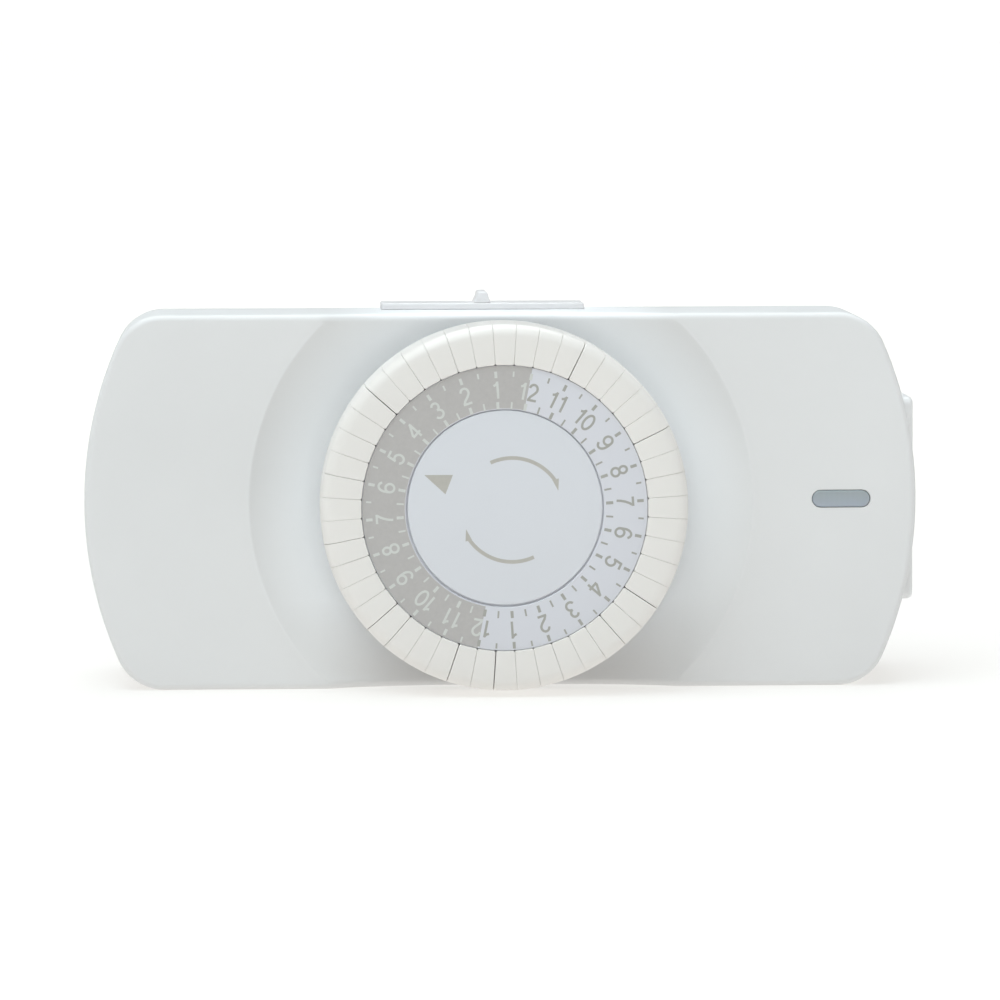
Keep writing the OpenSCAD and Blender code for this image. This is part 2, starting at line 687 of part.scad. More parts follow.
module microswitch_button() color([0.7, 0.1, 0.1]) upright() {
    post([button_x, lever_y], button_r, button_front - button_l, button_front - 0.6);
    translate([button_x, lever_y, button_front - 0.6]) cylinder(r1 = button_r, r2 = 0.6, h = 0.6);
}

module switch_lever() color(nylon_colour) upright() {
    translate([lever_pivot[0], lever_y, lever_pivot[1]]) rotate([-90, 0, 0]) {
        translate([0, 0, -2.5]) cylinder(r = lever_hub_r, h = 5);
        translate([0, 0, -4.2]) cylinder(r = trunnion_r, h = 8.4);
    }
    box([lever_pivot[0], lever_y - 1.6, arm_back], [lever_tip[0] + tip_r, lever_y + 1.6, arm_back + arm_t]);
    box([lever_tip[0] - tip_r, lever_y - 1.3, arm_back + 0.5],
        [lever_tip[0] + tip_r, lever_y + 1.3, tip_front - tip_r]);
    translate([lever_tip[0], lever_y - 1.3, tip_front - tip_r]) rotate([-90, 0, 0])
        cylinder(r = tip_r - 0.01, h = 2.6);
}

module lever_spring() color(steel_colour) upright() {
    steps = 12 * spring_turns;
    low = plate_front + spring_wire + 0.02;
    high = arm_back - spring_wire - 0.02;
    wire([for (i = [0:steps]) let (a = 30 * i) [
        spring_x + spring_r * cos(a), lever_y + spring_r * sin(a), low + (high - low) * i / steps]],
        spring_wire, sides = 6);
}

// ---------- Override slider ----------

module override_slider() color(shell_colour) upright() {
    box([slider_x - slider_w / 2, half_h + slip, slider_z[0]],
        [slider_x + slider_w / 2, half_h + slip + slider_t, slider_z[1]]);
    translate([slider_x, half_h + slip + slider_t, 0]) prism(slider_z[0] + 0.4, slider_z[1] - 0.4)
        polygon([
            [-rib_base / 2, -0.2], [rib_base / 2, -0.2], [rib_base / 2, 0],
            [rib_top / 2 + 0.1, rib_h - 0.5], [rib_top / 2 - 0.25, rib_h],
            [0.25 - rib_top / 2, rib_h], [-rib_top / 2 - 0.1, rib_h - 0.5], [-rib_base / 2, 0]]);
    box([slider_x - slider_stem / 2, flange_top - 0.5, stem_z[0]],
        [slider_x + slider_stem / 2, half_h + slip + 0.5, stem_z[1]]);
    box([slider_x - flange_w / 2, flange_top - flange_t, flange_z[0]],
        [slider_x + flange_w / 2, flange_top, flange_z[1]]);
}

module override_bridge() color(brass_colour) upright() box(
    [slider_x - bridge_w / 2, flange_top - flange_t - bridge_t, bridge_z[0]],
    [slider_x + bridge_w / 2, flange_top - flange_t, bridge_z[1]]);

module override_contacts() color(brass_colour) upright() for (x = strip_x)
    box([x[0], strip_top - strip_t, bridge_z[0]], [x[1], strip_top, bridge_z[1]]);

// ---------- Plug, straps and leads ----------

// A plug blade: chamfered tip outside, a shoulder behind the wall, and an inner end
module blade(x, w, inside) translate([x - blade_t / 2, plug_y, 0]) {
    difference() {
        rotate([90, 0, 90]) linear_extrude(blade_t) polygon([
            [-w / 2, inside], [w / 2, inside], [w / 2, blade_chamfer - blade_out],
            [w / 2 - blade_chamfer, -blade_out], [blade_chamfer - w / 2, -blade_out],
            [-w / 2, blade_chamfer - blade_out]]);
        translate([-cut, 0, -blade_hole_at]) rotate([0, 90, 0])
            cylinder(r = blade_hole_r, h = blade_t + 2 * cut);
    }
    box([-shoulder_t, -w / 2 - shoulder_t / 2, shoulder_back],
        [blade_t + shoulder_t, w / 2 + shoulder_t / 2, shoulder_back + shoulder_t]);
}

module line_blade() color(brass_colour) upright() blade(blade_gap / 2, line_w, blade_in[0]);

module neutral_blade() color(brass_colour) upright() blade(-blade_gap / 2, neutral_w, blade_in[1]);

module ground_pin() color(brass_colour) upright() translate([0, ground_y, 0]) {
    translate([0, 0, ground_r - ground_out]) cylinder(r = ground_r, h = ground_out - ground_r);
    translate([0, 0, -cut]) cylinder(r = ground_neck_r, h = ground_in + cut);
    translate([0, 0, ground_r - ground_out]) intersection() {
        sphere(r = ground_r);
        translate([0, 0, -5]) cylinder(r = 5, h = 5);
    }
    translate([0, 0, shoulder_back]) cylinder(r = ground_r + shoulder_t, h = shoulder_t);
}

module neutral_strap() color(brass_colour) upright() {
    top = face_z + blade_gap / 2;
    box([-blade_gap / 2 - 2, plug_y - strap_w / 2, blade_in[1]],
        [neutral_riser_x + strap_t, plug_y + strap_w / 2, blade_in[1] + strap_t]);
    box([neutral_riser_x, plug_y - strap_w / 2, blade_in[1]],
        [neutral_riser_x + strap_t, slot_y + contact_w / 2, top + strap_t / 2]);
    box([neutral_riser_x, slot_y - contact_w / 2, top - strap_t / 2],
        [contact_x[0] - leaf_t, slot_y + contact_w / 2, top + strap_t / 2]);
}

module ground_strap() color(brass_colour) upright() {
    box([-2, ground_y - strap_w / 2, ground_in],
        [ground_riser_x + strap_t, ground_y + strap_w / 2, ground_in + strap_t]);
    box([ground_riser_x, ground_y - strap_w / 2, ground_in],
        [ground_riser_x + strap_t, outlet_ground_y + strap_w / 2, face_z + strap_t / 2]);
    box([ground_riser_x, outlet_ground_y - strap_w / 2, face_z - strap_t / 2],
        [ground_clip_x[0], outlet_ground_y + strap_w / 2, face_z + strap_t / 2]);
}

module line_lead() color(black_colour) upright() wire(smooth(line_route), lead_r);

module load_lead() color(black_colour) upright() wire(smooth(load_route), lead_r);

module motor_leads() color([0.85, 0.85, 0.8]) upright() {
    wire(smooth(motor_route_line), thin_lead_r);
    wire(smooth(motor_route_neutral), thin_lead_r);
}

front_housing();
rear_housing();
housing_screws();
receptacle_face();
indicator_lens();
neon_lamp();
lamp_resistor();
dial_disc();
tab_carrier();
centre_cap();
centre_spindle();
dial_gear();
clutch_washer();
movement_plate();
movement_screws();
idler_gear();
motor_case();
motor_pinion();
microswitch_case();
microswitch_terminals();
microswitch_button();
switch_lever();
lever_spring();
override_slider();
override_bridge();
override_contacts();
line_blade();
neutral_blade();
ground_pin();
outlet_contacts();
outlet_ground_contact();
neutral_strap();
ground_strap();
line_lead();
load_lead();
motor_leads();
for (i = [0:TAB_PAIRS - 1]) tab_pair(i + 1);
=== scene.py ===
"""Looks of the plug-in 24-hour timer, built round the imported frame.

Shapes are drawn in millimetres as a person facing the timer sees them: x to the
right, y up and h forward from the wall face. at() turns that into the row frame.
"""
import random
from math import asin, atan2, cos, degrees, hypot, pi, radians, sin, sqrt

import bmesh
import bpy
from mathutils import Matrix, Vector


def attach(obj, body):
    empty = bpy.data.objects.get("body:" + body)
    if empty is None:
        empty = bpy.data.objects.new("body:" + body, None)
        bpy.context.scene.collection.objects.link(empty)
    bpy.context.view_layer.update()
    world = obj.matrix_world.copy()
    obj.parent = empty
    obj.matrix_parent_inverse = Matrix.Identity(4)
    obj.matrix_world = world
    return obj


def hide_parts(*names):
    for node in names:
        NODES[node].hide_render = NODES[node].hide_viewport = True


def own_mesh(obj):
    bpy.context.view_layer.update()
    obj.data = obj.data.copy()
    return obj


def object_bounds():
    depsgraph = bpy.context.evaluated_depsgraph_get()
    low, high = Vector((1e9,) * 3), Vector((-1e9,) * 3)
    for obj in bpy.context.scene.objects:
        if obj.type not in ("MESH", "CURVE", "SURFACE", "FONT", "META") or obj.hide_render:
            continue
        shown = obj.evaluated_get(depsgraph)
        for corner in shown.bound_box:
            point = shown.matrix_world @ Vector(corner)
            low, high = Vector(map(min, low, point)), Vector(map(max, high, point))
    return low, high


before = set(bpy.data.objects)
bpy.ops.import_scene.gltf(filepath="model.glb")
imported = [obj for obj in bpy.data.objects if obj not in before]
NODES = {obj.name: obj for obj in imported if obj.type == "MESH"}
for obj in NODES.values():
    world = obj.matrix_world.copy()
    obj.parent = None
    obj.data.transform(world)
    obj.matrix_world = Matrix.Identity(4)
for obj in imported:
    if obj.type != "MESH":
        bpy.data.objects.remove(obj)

cad_box = [list(corner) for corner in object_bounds()]
MM = 0.001


def at(x, y, h):
    return (x * MM, -h * MM, y * MM)


# ---------- Plane geometry ----------

def oval(cx, cy, rx, ry, start, end, steps):
    """Points along an arc of an ellipse, angles in degrees."""
    turn = [radians(start + (end - start) * i / steps) for i in range(steps + 1)]
    return [(cx + rx * cos(a), cy + ry * sin(a)) for a in turn]


def arc(cx, cy, r, start, end, steps):
    """Points along a circular arc, angles in degrees."""
    return oval(cx, cy, r, r, start, end, steps)


def circle(cx, cy, r, steps):
    """A whole circle, without the first point repeated."""
    return [(cx + r * cos(2 * pi * k / steps), cy + r * sin(2 * pi * k / steps))
            for k in range(steps)]


def line(p, q, steps):
    """Points after p on the way to q, without q."""
    return [(p[0] + (q[0] - p[0]) * i / steps, p[1] + (q[1] - p[1]) * i / steps)
            for i in range(1, steps)]


def unit(x, y):
    n = hypot(x, y)
    return (x / n, y / n)


def inset(points, d):
    """A closed anticlockwise outline moved inwards by d. Very sharp corners move less far."""
    out = []
    for i, p in enumerate(points):
        before, after = points[i - 1], points[(i + 1) % len(points)]
        a = unit(p[0] - before[0], p[1] - before[1])
        b = unit(after[0] - p[0], after[1] - p[1])
        na, nb = (-a[1], a[0]), (-b[1], b[0])
        k = max(0.35, 1 + na[0] * nb[0] + na[1] * nb[1])
        out.append((p[0] + d * (na[0] + nb[0]) / k, p[1] + d * (na[1] + nb[1]) / k))
    return out


def fillet(corners, steps):
    """A closed outline from (x, y, radius) corners, each corner rounded by its radius."""
    out = []
    for i, (x, y, r) in enumerate(corners):
        if r <= 0:
            out.append((x, y))
            continue
        before, after = corners[i - 1], corners[(i + 1) % len(corners)]
        u = unit(before[0] - x, before[1] - y)
        v = unit(after[0] - x, after[1] - y)
        half = atan2(abs(u[0] * v[1] - u[1] * v[0]), u[0] * v[0] + u[1] * v[1]) / 2
        reach = r * cos(half) / sin(half)
        mid = unit(u[0] + v[0], u[1] + v[1])
        cx, cy = x + mid[0] * r / sin(half), y + mid[1] * r / sin(half)
        start = atan2(y + u[1] * reach - cy, x + u[0] * reach - cx)
        end = atan2(y + v[1] * reach - cy, x + v[0] * reach - cx)
        sweep = (end - start + pi) % (2 * pi) - pi
        turn = [start + sweep * k / steps for k in range(steps + 1)]
        out += [(cx + r * cos(a), cy + r * sin(a)) for a in turn]
    return out


def rounded_box(w, h, r, steps=8):
    x, y = w / 2, h / 2
    return fillet([(x, -y, r), (x, y, r), (-x, y, r), (-x, -y, r)], steps)


def stadium(w, h, steps=24):
    return (arc((w - h) / 2, 0, h / 2, -90, 90, steps)
            + arc((h - w) / 2, 0, h / 2, 90, 270, steps))


# ---------- Mesh building ----------

MERGE, SLIVER = 2e-7, 1e-7  # metres: points this close are one, and edges this short go
SHARP = 32  # degrees: an edge that turns by more than this stays sharp


class Shape:
    """Collects rings of points and the faces between them."""

    def __init__(self):
        self.points, self.faces = [], []

    def ring(self, points):
        first = len(self.points)
        self.points += points
        return list(range(first, len(self.points)))

    def bridge(self, a, b):
        n = len(a)
        for i in range(n):
            j = (i + 1) % n
            self.faces.append([a[i], a[j], b[j], b[i]])

    def loft(self, rings, loop=False):
        """Joins rings in turn. loop joins the last to the first, or else both ends are closed."""
        ids = [self.ring(r) for r in rings]
        for a, b in zip(ids, ids[1:]):
            self.bridge(a, b)
        if loop:
            self.bridge(ids[-1], ids[0])
        else:
            self.faces += [ids[0], ids[-1]]

    def mesh(self, name, solid=True, sharp=SHARP):
        data = bpy.data.meshes.new(name)
        data.from_pydata(self.points, [], self.faces)
        work = bmesh.new()
        work.from_mesh(data)
        bmesh.ops.remove_doubles(work, verts=work.verts, dist=MERGE)
        bmesh.ops.dissolve_degenerate(work, edges=work.edges, dist=SLIVER)
        loose = [e for e in work.edges if not e.link_faces]
        bmesh.ops.delete(work, geom=loose, context="EDGES")
        if solid:
            bmesh.ops.recalc_face_normals(work, faces=work.faces)
        work.to_mesh(data)
        work.free()
        smooth(data, sharp)
        return data


def smooth(data, sharp=SHARP):
    data.polygons.foreach_set("use_smooth", [True] * len(data.polygons))
    data.set_sharp_from_angle(angle=radians(sharp))


def put(name, data, materials, body, replaces=()):
    """Makes an object of a mesh, on its body and in place of its CAD nodes."""
    piece = bpy.data.objects.new(name, data)
    bpy.context.scene.collection.objects.link(piece)
    for material in materials:
        data.materials.append(material)
    if body:
        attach(piece, body)
    if replaces:
        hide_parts(*replaces)
    return piece


def carve(data, cutter):
    """Cuts one closed mesh out of another, and returns the result."""
    body = bpy.data.objects.new("carve_body", data)
    tool = bpy.data.objects.new("carve_tool", cutter)
    for o in (body, tool):
        bpy.context.scene.collection.objects.link(o)
    cut = body.modifiers.new("cut", "BOOLEAN")
    cut.object, cut.operation, cut.solver = tool, "DIFFERENCE", "EXACT"
    graph = bpy.context.evaluated_depsgraph_get()
    result = bpy.data.meshes.new_from_object(body.evaluated_get(graph))
    result.name = data.name
    for o in (body, tool):
        bpy.data.objects.remove(o)
    smooth(result)
    return result


def turned(profile, steps, spot=(0, 0)):
    """Rings of a closed (r, h) profile turned about an axis that runs forward through spot."""
    x, y = spot
    return [[at(x + r * cos(2 * pi * i / steps), y + r * sin(2 * pi * i / steps), h)
             for r, h in profile] for i in range(steps)]


def pillow(outline, low, high, low_round, high_round, place, steps=5):
    """Rings of a slab over an outline, with its two rims rounded by the radii given.

    place(x, y, level) turns a point of the outline, at a level from low to high, into a 3-D point.
    """
    rings = []
    for k in range(steps + 1 if low_round else 1):
        a = radians(90 * k / steps)
        rings.append([place(x, y, low + low_round * (1 - cos(a)))
                      for x, y in inset(outline, low_round * (1 - sin(a)))])
    for k in range(steps + 1 if high_round else 1):
        a = radians(90 * (1 - k / steps))
        rings.append([place(x, y, high - high_round * (1 - cos(a)))
                      for x, y in inset(outline, high_round * (1 - sin(a)))])
    return rings


def join(*shapes):
    whole = Shape()
    for s in shapes:
        first = len(whole.points)
        whole.points += s.points
        whole.faces += [[i + first for i in f] for f in s.faces]
    return whole


def block(low, high):
    """A closed box between two corners given as (x, y, h)."""
    (x0, y0, h0), (x1, y1, h1) = low, high
    s = Shape()
    s.loft([[at(x0, y0, h), at(x1, y0, h), at(x1, y1, h), at(x0, y1, h)] for h in (h0, h1)])
    return s


# ---------- Materials ----------

def tone(*screen):
    """A colour given as 0 to 255 screen values, as scene-linear numbers."""
    linear = [c / 12.92 / 255 if c < 10.3 else ((c / 255 + 0.055) / 1.055) ** 2.4 for c in screen]
    return (*linear, 1.0)


def set_range(node, low, high, out_low, out_high):
    """Sets what a Map Range node reads and gives."""
    for key, number in (("From Min", low), ("From Max", high),
                        ("To Min", out_low), ("To Max", out_high)):
        node.inputs[key].default_value = number


class Nodes:
    """Short calls for a material's node tree."""

    def __init__(self, name):
        self.material = bpy.data.materials.new(name)
        self.material.use_nodes = True
        self.tree = self.material.node_tree
        self.tree.nodes.clear()
        self.out = self.add("ShaderNodeOutputMaterial")
        self.main = self.add("ShaderNodeBsdfPrincipled")
        self.link(self.main.outputs["BSDF"], self.out.inputs["Surface"])
        self.where = self.add("ShaderNodeTexCoord").outputs["Object"]

    def add(self, kind, **values):
        node = self.tree.nodes.new(kind)
        for key, value in values.items():
            setattr(node, key, value)
        return node

    def link(self, a, b):
        self.tree.links.new(a, b)

    def set(self, **values):
        for key, value in values.items():
            self.main.inputs[key.replace("_", " ")].default_value = value

    def stretched(self, x, y, z):
        node = self.add("ShaderNodeMapping")
        node.inputs["Scale"].default_value = (x, y, z)
        self.link(self.where, node.inputs["Vector"])
        return node.outputs["Vector"]

    def noise(self, scale, detail=4.0, rough=0.55, where=None):
        node = self.add("ShaderNodeTexNoise")
        node.inputs["Scale"].default_value = scale
        node.inputs["Detail"].default_value = detail
        node.inputs["Roughness"].default_value = rough
        self.link(where or self.where, node.inputs["Vector"])
        return node.outputs["Fac"]

    def remap(self, value, low, high, out_low, out_high):
        node = self.add("ShaderNodeMapRange")
        set_range(node, low, high, out_low, out_high)
        self.link(value, node.inputs["Value"])
        return node.outputs["Result"]

    def distance(self, value):
        node = self.add("ShaderNodeVectorMath", operation="LENGTH")
        self.link(value, node.inputs[0])
        return node.outputs["Value"]

    def split(self, value):
        """The X, Y and Z of a point."""
        node = self.add("ShaderNodeSeparateXYZ")
        self.link(value, node.inputs[0])
        return node.outputs

    def maths(self, operation, a, b=0.0):
        node = self.add("ShaderNodeMath", operation=operation)
        for socket, value in zip(node.inputs, (a, b)):
            if isinstance(value, (int, float)):
                socket.default_value = value
            else:
                self.link(value, socket)
        return node.outputs["Value"]

    def mix(self, factor, a, b):
        node = self.add("ShaderNodeMix", data_type="RGBA")
        colours = [s for s in node.inputs if s.type == "RGBA"]
        for socket, value in zip([node.inputs["Factor"]] + colours, (factor, a, b)):
            if isinstance(value, (int, float, tuple)):
                socket.default_value = value
            else:
                self.link(value, socket)
        return [s for s in node.outputs if s.type == "RGBA"][0]

    def bump(self, height, distance, under=None):
        node = self.add("ShaderNodeBump")
        node.inputs["Strength"].default_value = 1.0
        node.inputs["Distance"].default_value = distance
        self.link(height, node.inputs["Height"])
        if under:
            self.link(under, node.inputs["Normal"])
        return node.outputs["Normal"]


def shade(colour, k):
    return tuple(min(1.0, c * k) for c in colour[:3]) + (1.0,)


SINK_WAVE = 50e-6  # metres: height of the broad waves in a moulded wall
DUST = 0.12  # how strongly specks of dust tint a plastic
PAINTED_LIGHT_R = (34 * MM, 43.5 * MM)  # painted light in the dish round the dial ends between these radii
PAINTED_LIGHT_Z = (-29 * MM, -17 * MM)  # and fades in upwards between these heights


def plastic(name, colour, rough, grain, depth, drift=0.02, gloss=0.5, painted_dish_light=None):
    """Moulded plastic: fine spark-eroded grain, faint sink waves, uneven sheen and a little dust.

    With a dish colour, the middle of the dish round the dial takes that paler colour: painted light
    over the shade the dial casts there, fading out towards the dish's rim and lower edge.
    """
    n = Nodes(name)
    broad = n.noise(22, 3.0)
    cloud = n.noise(140, 5.0, 0.6)
    fine = n.noise(grain, 3.0, 0.6)
    base = n.mix(n.remap(broad, 0.3, 0.7, 0, 1), shade(colour, 1 - drift), shade(colour, 1 + drift))
    # Painted light: the dish round the dial is painted paler, fading out towards its rim and lower
    # edge.
    if painted_dish_light:
        spot = n.split(n.where)
        flat = n.add("ShaderNodeCombineXYZ")
        n.link(spot["X"], flat.inputs["X"])
        n.link(spot["Z"], flat.inputs["Z"])
        inner = n.remap(n.distance(flat.outputs[0]), *PAINTED_LIGHT_R, 1, 0)
        raised = n.remap(spot["Z"], *PAINTED_LIGHT_Z, 0, 1)
        base = n.mix(n.maths("MULTIPLY", inner, raised), base, painted_dish_light)
    speck = n.remap(n.noise(2600, 2.0, 0.5), 0.66, 0.78, 0, DUST)
    base = n.mix(speck, base, shade(colour, 0.86))
    n.link(base, n.main.inputs["Base Color"])
    sheen = n.maths("ADD", n.remap(cloud, 0.3, 0.7, rough - 0.05, rough + 0.05),
                    n.remap(fine, 0.3, 0.7, -0.03, 0.03))
    n.link(sheen, n.main.inputs["Roughness"])
    wave = n.bump(n.noise(45, 2.0), SINK_WAVE)
    n.link(n.bump(fine, depth, wave), n.main.inputs["Normal"])
    n.set(Specular_IOR_Level=gloss)
    return n.material


def ink(name, colour):
    """Pad-printed ink: slightly uneven film with pinholes."""
    n = Nodes(name)
    film = n.noise(1400, 4.0, 0.65)
    holes = n.remap(n.noise(3200, 2.0), 0.70, 0.80, 0, 0.5)
    base = n.mix(n.remap(film, 0.3, 0.7, 0, 1), shade(colour, 0.965), shade(colour, 1.03))
    n.link(n.mix(holes, base, shade(colour, 1.15)), n.main.inputs["Base Color"])
    n.link(n.remap(film, 0.3, 0.7, 0.44, 0.56), n.main.inputs["Roughness"])
    n.link(n.bump(film, 3e-6), n.main.inputs["Normal"])
    return n.material


def metal(name, colour, rough, along, tarnish=0.12):
    """Rolled or drawn metal: fine lines along one way and soft tarnish."""
    n = Nodes(name)
    lines = n.noise(60, 6.0, 0.7, n.stretched(*(45 / a for a in along)))
    patch = n.noise(260, 4.0, 0.6)
    base = n.mix(n.remap(patch, 0.35, 0.7, 0, 1), colour, shade(colour, 1 - tarnish))
    base = n.mix(n.remap(lines, 0.4, 0.6, 0, 0.35), base, shade(colour, 0.8))
    n.link(base, n.main.inputs["Base Color"])
    n.link(n.maths("ADD", n.remap(patch, 0.3, 0.7, rough - 0.06, rough + 0.08),
                   n.remap(lines, 0.3, 0.7, -0.04, 0.05)), n.main.inputs["Roughness"])
    n.link(n.bump(lines, 3e-6), n.main.inputs["Normal"])
    n.set(Metallic=1.0)
    return n.material


SHELL = tone(226, 226, 226)
# Name, colour, roughness, scale and depth of the grain, and what differs from the usual.
# The shell's dish colour is painted light over the shade round the dial.
shell_plastic = plastic("shell_plastic", SHELL, 0.46, 1500, 5e-6,
                        gloss=0.36, painted_dish_light=tone(247, 249, 251))
rear_plastic = plastic("rear_plastic", shade(SHELL, 0.99), 0.5, 1300, 6e-6)
pad_plastic = plastic("pad_plastic", tone(234, 234, 234), 0.40, 1500, 4e-6)
slider_plastic = plastic("slider_plastic", tone(231, 229, 230), 0.38, 1500, 4e-6)
tab_plastic = plastic("tab_plastic", tone(232, 229, 225), 0.36, 1700, 3e-6, drift=0.012)
disc_plastic = plastic("disc_plastic", tone(215, 216, 222), 0.40, 1700, 3e-6)
cap_plastic = plastic("cap_plastic", tone(218, 220, 225), 0.36, 1700, 3e-6, drift=0.012)
nylon = plastic("nylon", tone(228, 222, 203), 0.5, 1200, 5e-6, drift=0.03)
black_plastic = plastic("black_plastic", tone(38, 38, 41), 0.45, 1300, 6e-6, drift=0.06)
red_plastic = plastic("red_plastic", tone(190, 48, 42), 0.35, 1500, 3e-6, drift=0.04)
black_lead = plastic("black_lead", tone(34, 34, 36), 0.5, 900, 8e-6, drift=0.08)
white_lead = plastic("white_lead", tone(216, 215, 208), 0.5, 900, 8e-6, drift=0.04)
ceramic = plastic("ceramic", tone(205, 186, 150), 0.32, 800, 5e-6, drift=0.05)
grey_ink = ink("grey_ink", tone(184, 181, 179))
light_ink = ink("light_ink", tone(207, 209, 205))
dark_ink = ink("dark_ink", tone(168, 167, 161))
arrow_ink = ink("arrow_ink", tone(184, 181, 174))
brass = metal("brass", tone(214, 184, 118), 0.28, along=(1, 30, 1))
zinc = metal("zinc", tone(186, 190, 196), 0.34, along=(1, 1, 12), tarnish=0.08)
spring_steel = metal("spring_steel", tone(170, 172, 176), 0.25, along=(1, 1, 1), tarnish=0.05)

PRISM_PITCH = 0.9 * MM
LENS_FADE_Z = (-1.4 * MM, 1.4 * MM)  # from the lens's lower edge to its upper edge


def lens_material():
    """Moulded tinted lens: a faint prism pattern inside, lighter towards its lower edge."""
    n = Nodes("lens")
    spot = n.split(n.where)
    fade = n.remap(spot["Z"], *LENS_FADE_Z, 1, 0)
    prisms = n.maths("SINE", n.maths("MULTIPLY", spot["X"], 2 * pi / PRISM_PITCH))
    base = n.mix(fade, tone(154, 163, 166), tone(161, 169, 181))
    base = n.mix(n.remap(prisms, -1, 1, 0, 0.04), base, tone(178, 186, 194))
    n.link(base, n.main.inputs["Base Color"])
    n.link(n.remap(n.noise(500, 3.0), 0.3, 0.7, 0.10, 0.20), n.main.inputs["Roughness"])
    n.link(n.bump(n.noise(300, 2.0), 4e-6), n.main.inputs["Normal"])
    n.set(Subsurface_Weight=0.08, Subsurface_Scale=0.001, Coat_Weight=0.35, Coat_Roughness=0.06)
    return n.material


def glass_material():
    """Clear glass capsule with a faint uneven wall."""
    n = Nodes("lamp_glass")
    base = n.mix(n.noise(200, 3.0), tone(238, 214, 196), tone(250, 232, 220))
    n.link(base, n.main.inputs["Base Color"])
    n.link(n.remap(n.noise(400, 2.0), 0.3, 0.7, 0.03, 0.10), n.main.inputs["Roughness"])
    n.link(n.bump(n.noise(260, 2.0), 5e-6), n.main.inputs["Normal"])
    n.set(Transmission_Weight=0.75, IOR=1.47)
    return n.material


lens_plastic = lens_material()
lamp_glass = glass_material()


# ---------- Sizes in millimetres ----------
# They are the CAD model's, but the pad's corners are tighter, and the disc reaches closer to
# the tabs and to the cap.

BODY_D, SPLIT, WALL, SIDE_WALL = 38.0, 14.0, 2.0, 2.2
HALF_W, HALF_H, END_R, CORNER_R = 71.0, 32.0, 67.0, 8.5
CORNER_Y = HALF_H - CORNER_R
CORNER_X = HALF_W - END_R + sqrt((END_R - CORNER_R) ** 2 - CORNER_Y ** 2)
CORNER_A = degrees(asin(CORNER_Y / (END_R - CORNER_R)))
REAR_INSET, REAR_EDGE, FACE_EDGE = 0.8, 1.2, 1.1
DISH_FLOOR, DISH_FLAT_R, DISH_R = 34.0, 30.0, 43.0
HUB_HOLE_R = 7.5
DIAL_R, DISC_R, DISC_IN_R, CAP_R = 31.0, 24.04, 16.66, 16.4
DIAL_FRONT, DISC_FRONT, CAP_FRONT = 52.3, 51.9, 51.8
LEDGE, LEDGE_GAP = 51.35, 0.12  # the disc's ledge under the cap's rim, and the gap over it
SCREWS = [(56 * sx, 19 * sy) for sx in (-1, 1) for sy in (-1, 1)]
SCREW_HEAD_R, SLEEVE_R, SCREW_R = 3.2, 4.4, 1.6
BLADE_X, GROUND_DROP = 6.35, 11.9  # half the blades' spacing, and how far the ground is below
BLADE_Y, SLOT_Y = -6.0, 4.0  # the plug's blades, and the outlet's slots
PAD_X, PAD_Y, PAD_H = 71.2, -0.4, 19.0
PAD_TALL, PAD_WIDE, PAD_CORNER, PAD_GAP = 35.0, 25.0, 1.6, 0.2
PAD_FOOT, PAD_PLATE, PAD_RIM = 63.8, 2.5, 1.4  # where its rim begins, and two thicknesses
LENS_X, LENS_Y, LENS_W, LENS_H, LENS_GAP = 58.1, 0.15, 9.9, 2.9, 0.16
LENS_FRONT = BODY_D + 0.15
SLIDER_X, SLIDER_W, SLIDER_D, SLIDER_T = -2.55, 35.1, 9.0, 1.1
SLIDER_FOOT = HALF_H + 0.05
# Square openings in the front shell, by opposite corners: the lever's and the slider's.
FRONT_OPENINGS = (
    ((-26.2, 8.4, 28), (-22.4, 12.1, 36)),
    ((SLIDER_X - 2.05, 28, SPLIT + 2.95), (SLIDER_X + 6.05, 33, SPLIT + 6.05)),
)


def body_outline(d):
    """Housing outline moved in by d, with the same number of points for any d."""
    x = HALF_W - END_R
    a, top = CORNER_A, HALF_H - d
    out = arc(x, 0, END_R - d, -a, a, 90)
    out += arc(CORNER_X, CORNER_Y, CORNER_R - d, a, 90, 26)[1:]
    out += line((CORNER_X, top), (-CORNER_X, top), 150)
    out += arc(-CORNER_X, CORNER_Y, CORNER_R - d, 90, 180 - a, 26)
    out += arc(-x, 0, END_R - d, 180 - a, 180 + a, 90)[1:]
    out += arc(-CORNER_X, -CORNER_Y, CORNER_R - d, 180 + a, 270, 26)[1:]
    out += line((-CORNER_X, -top), (CORNER_X, -top), 150)
    out += arc(CORNER_X, -CORNER_Y, CORNER_R - d, 270, 360 - a, 26)[:-1]
    return out


def face_level(r):
    """Height of the front face at radius r from the dial's axis: a shallow bowl in a flat face."""
    if r >= DISH_R:
        return BODY_D
    t = max(0.0, (r - DISH_FLAT_R) / (DISH_R - DISH_FLAT_R))
    return DISH_FLOOR + (BODY_D - DISH_FLOOR) * t * t


# ---------- Housing ----------

def end_spot(a, b, level):
    """A point by the right-hand end: a up and b back from the pad's middle, level to the right."""
    return at(level, PAD_Y + a, PAD_H - b)


def lens_spot(x, y, h):
    return at(LENS_X + x, LENS_Y + y, h)


def window_cutter():
    """The opening in the right-hand end for the outlet's face."""
    s = Shape()
    outline = rounded_box(PAD_TALL + PAD_GAP, PAD_WIDE + PAD_GAP, PAD_CORNER)
    s.loft(pillow(outline, PAD_X - 14, PAD_X + 3, 0, 0, end_spot))
    return s


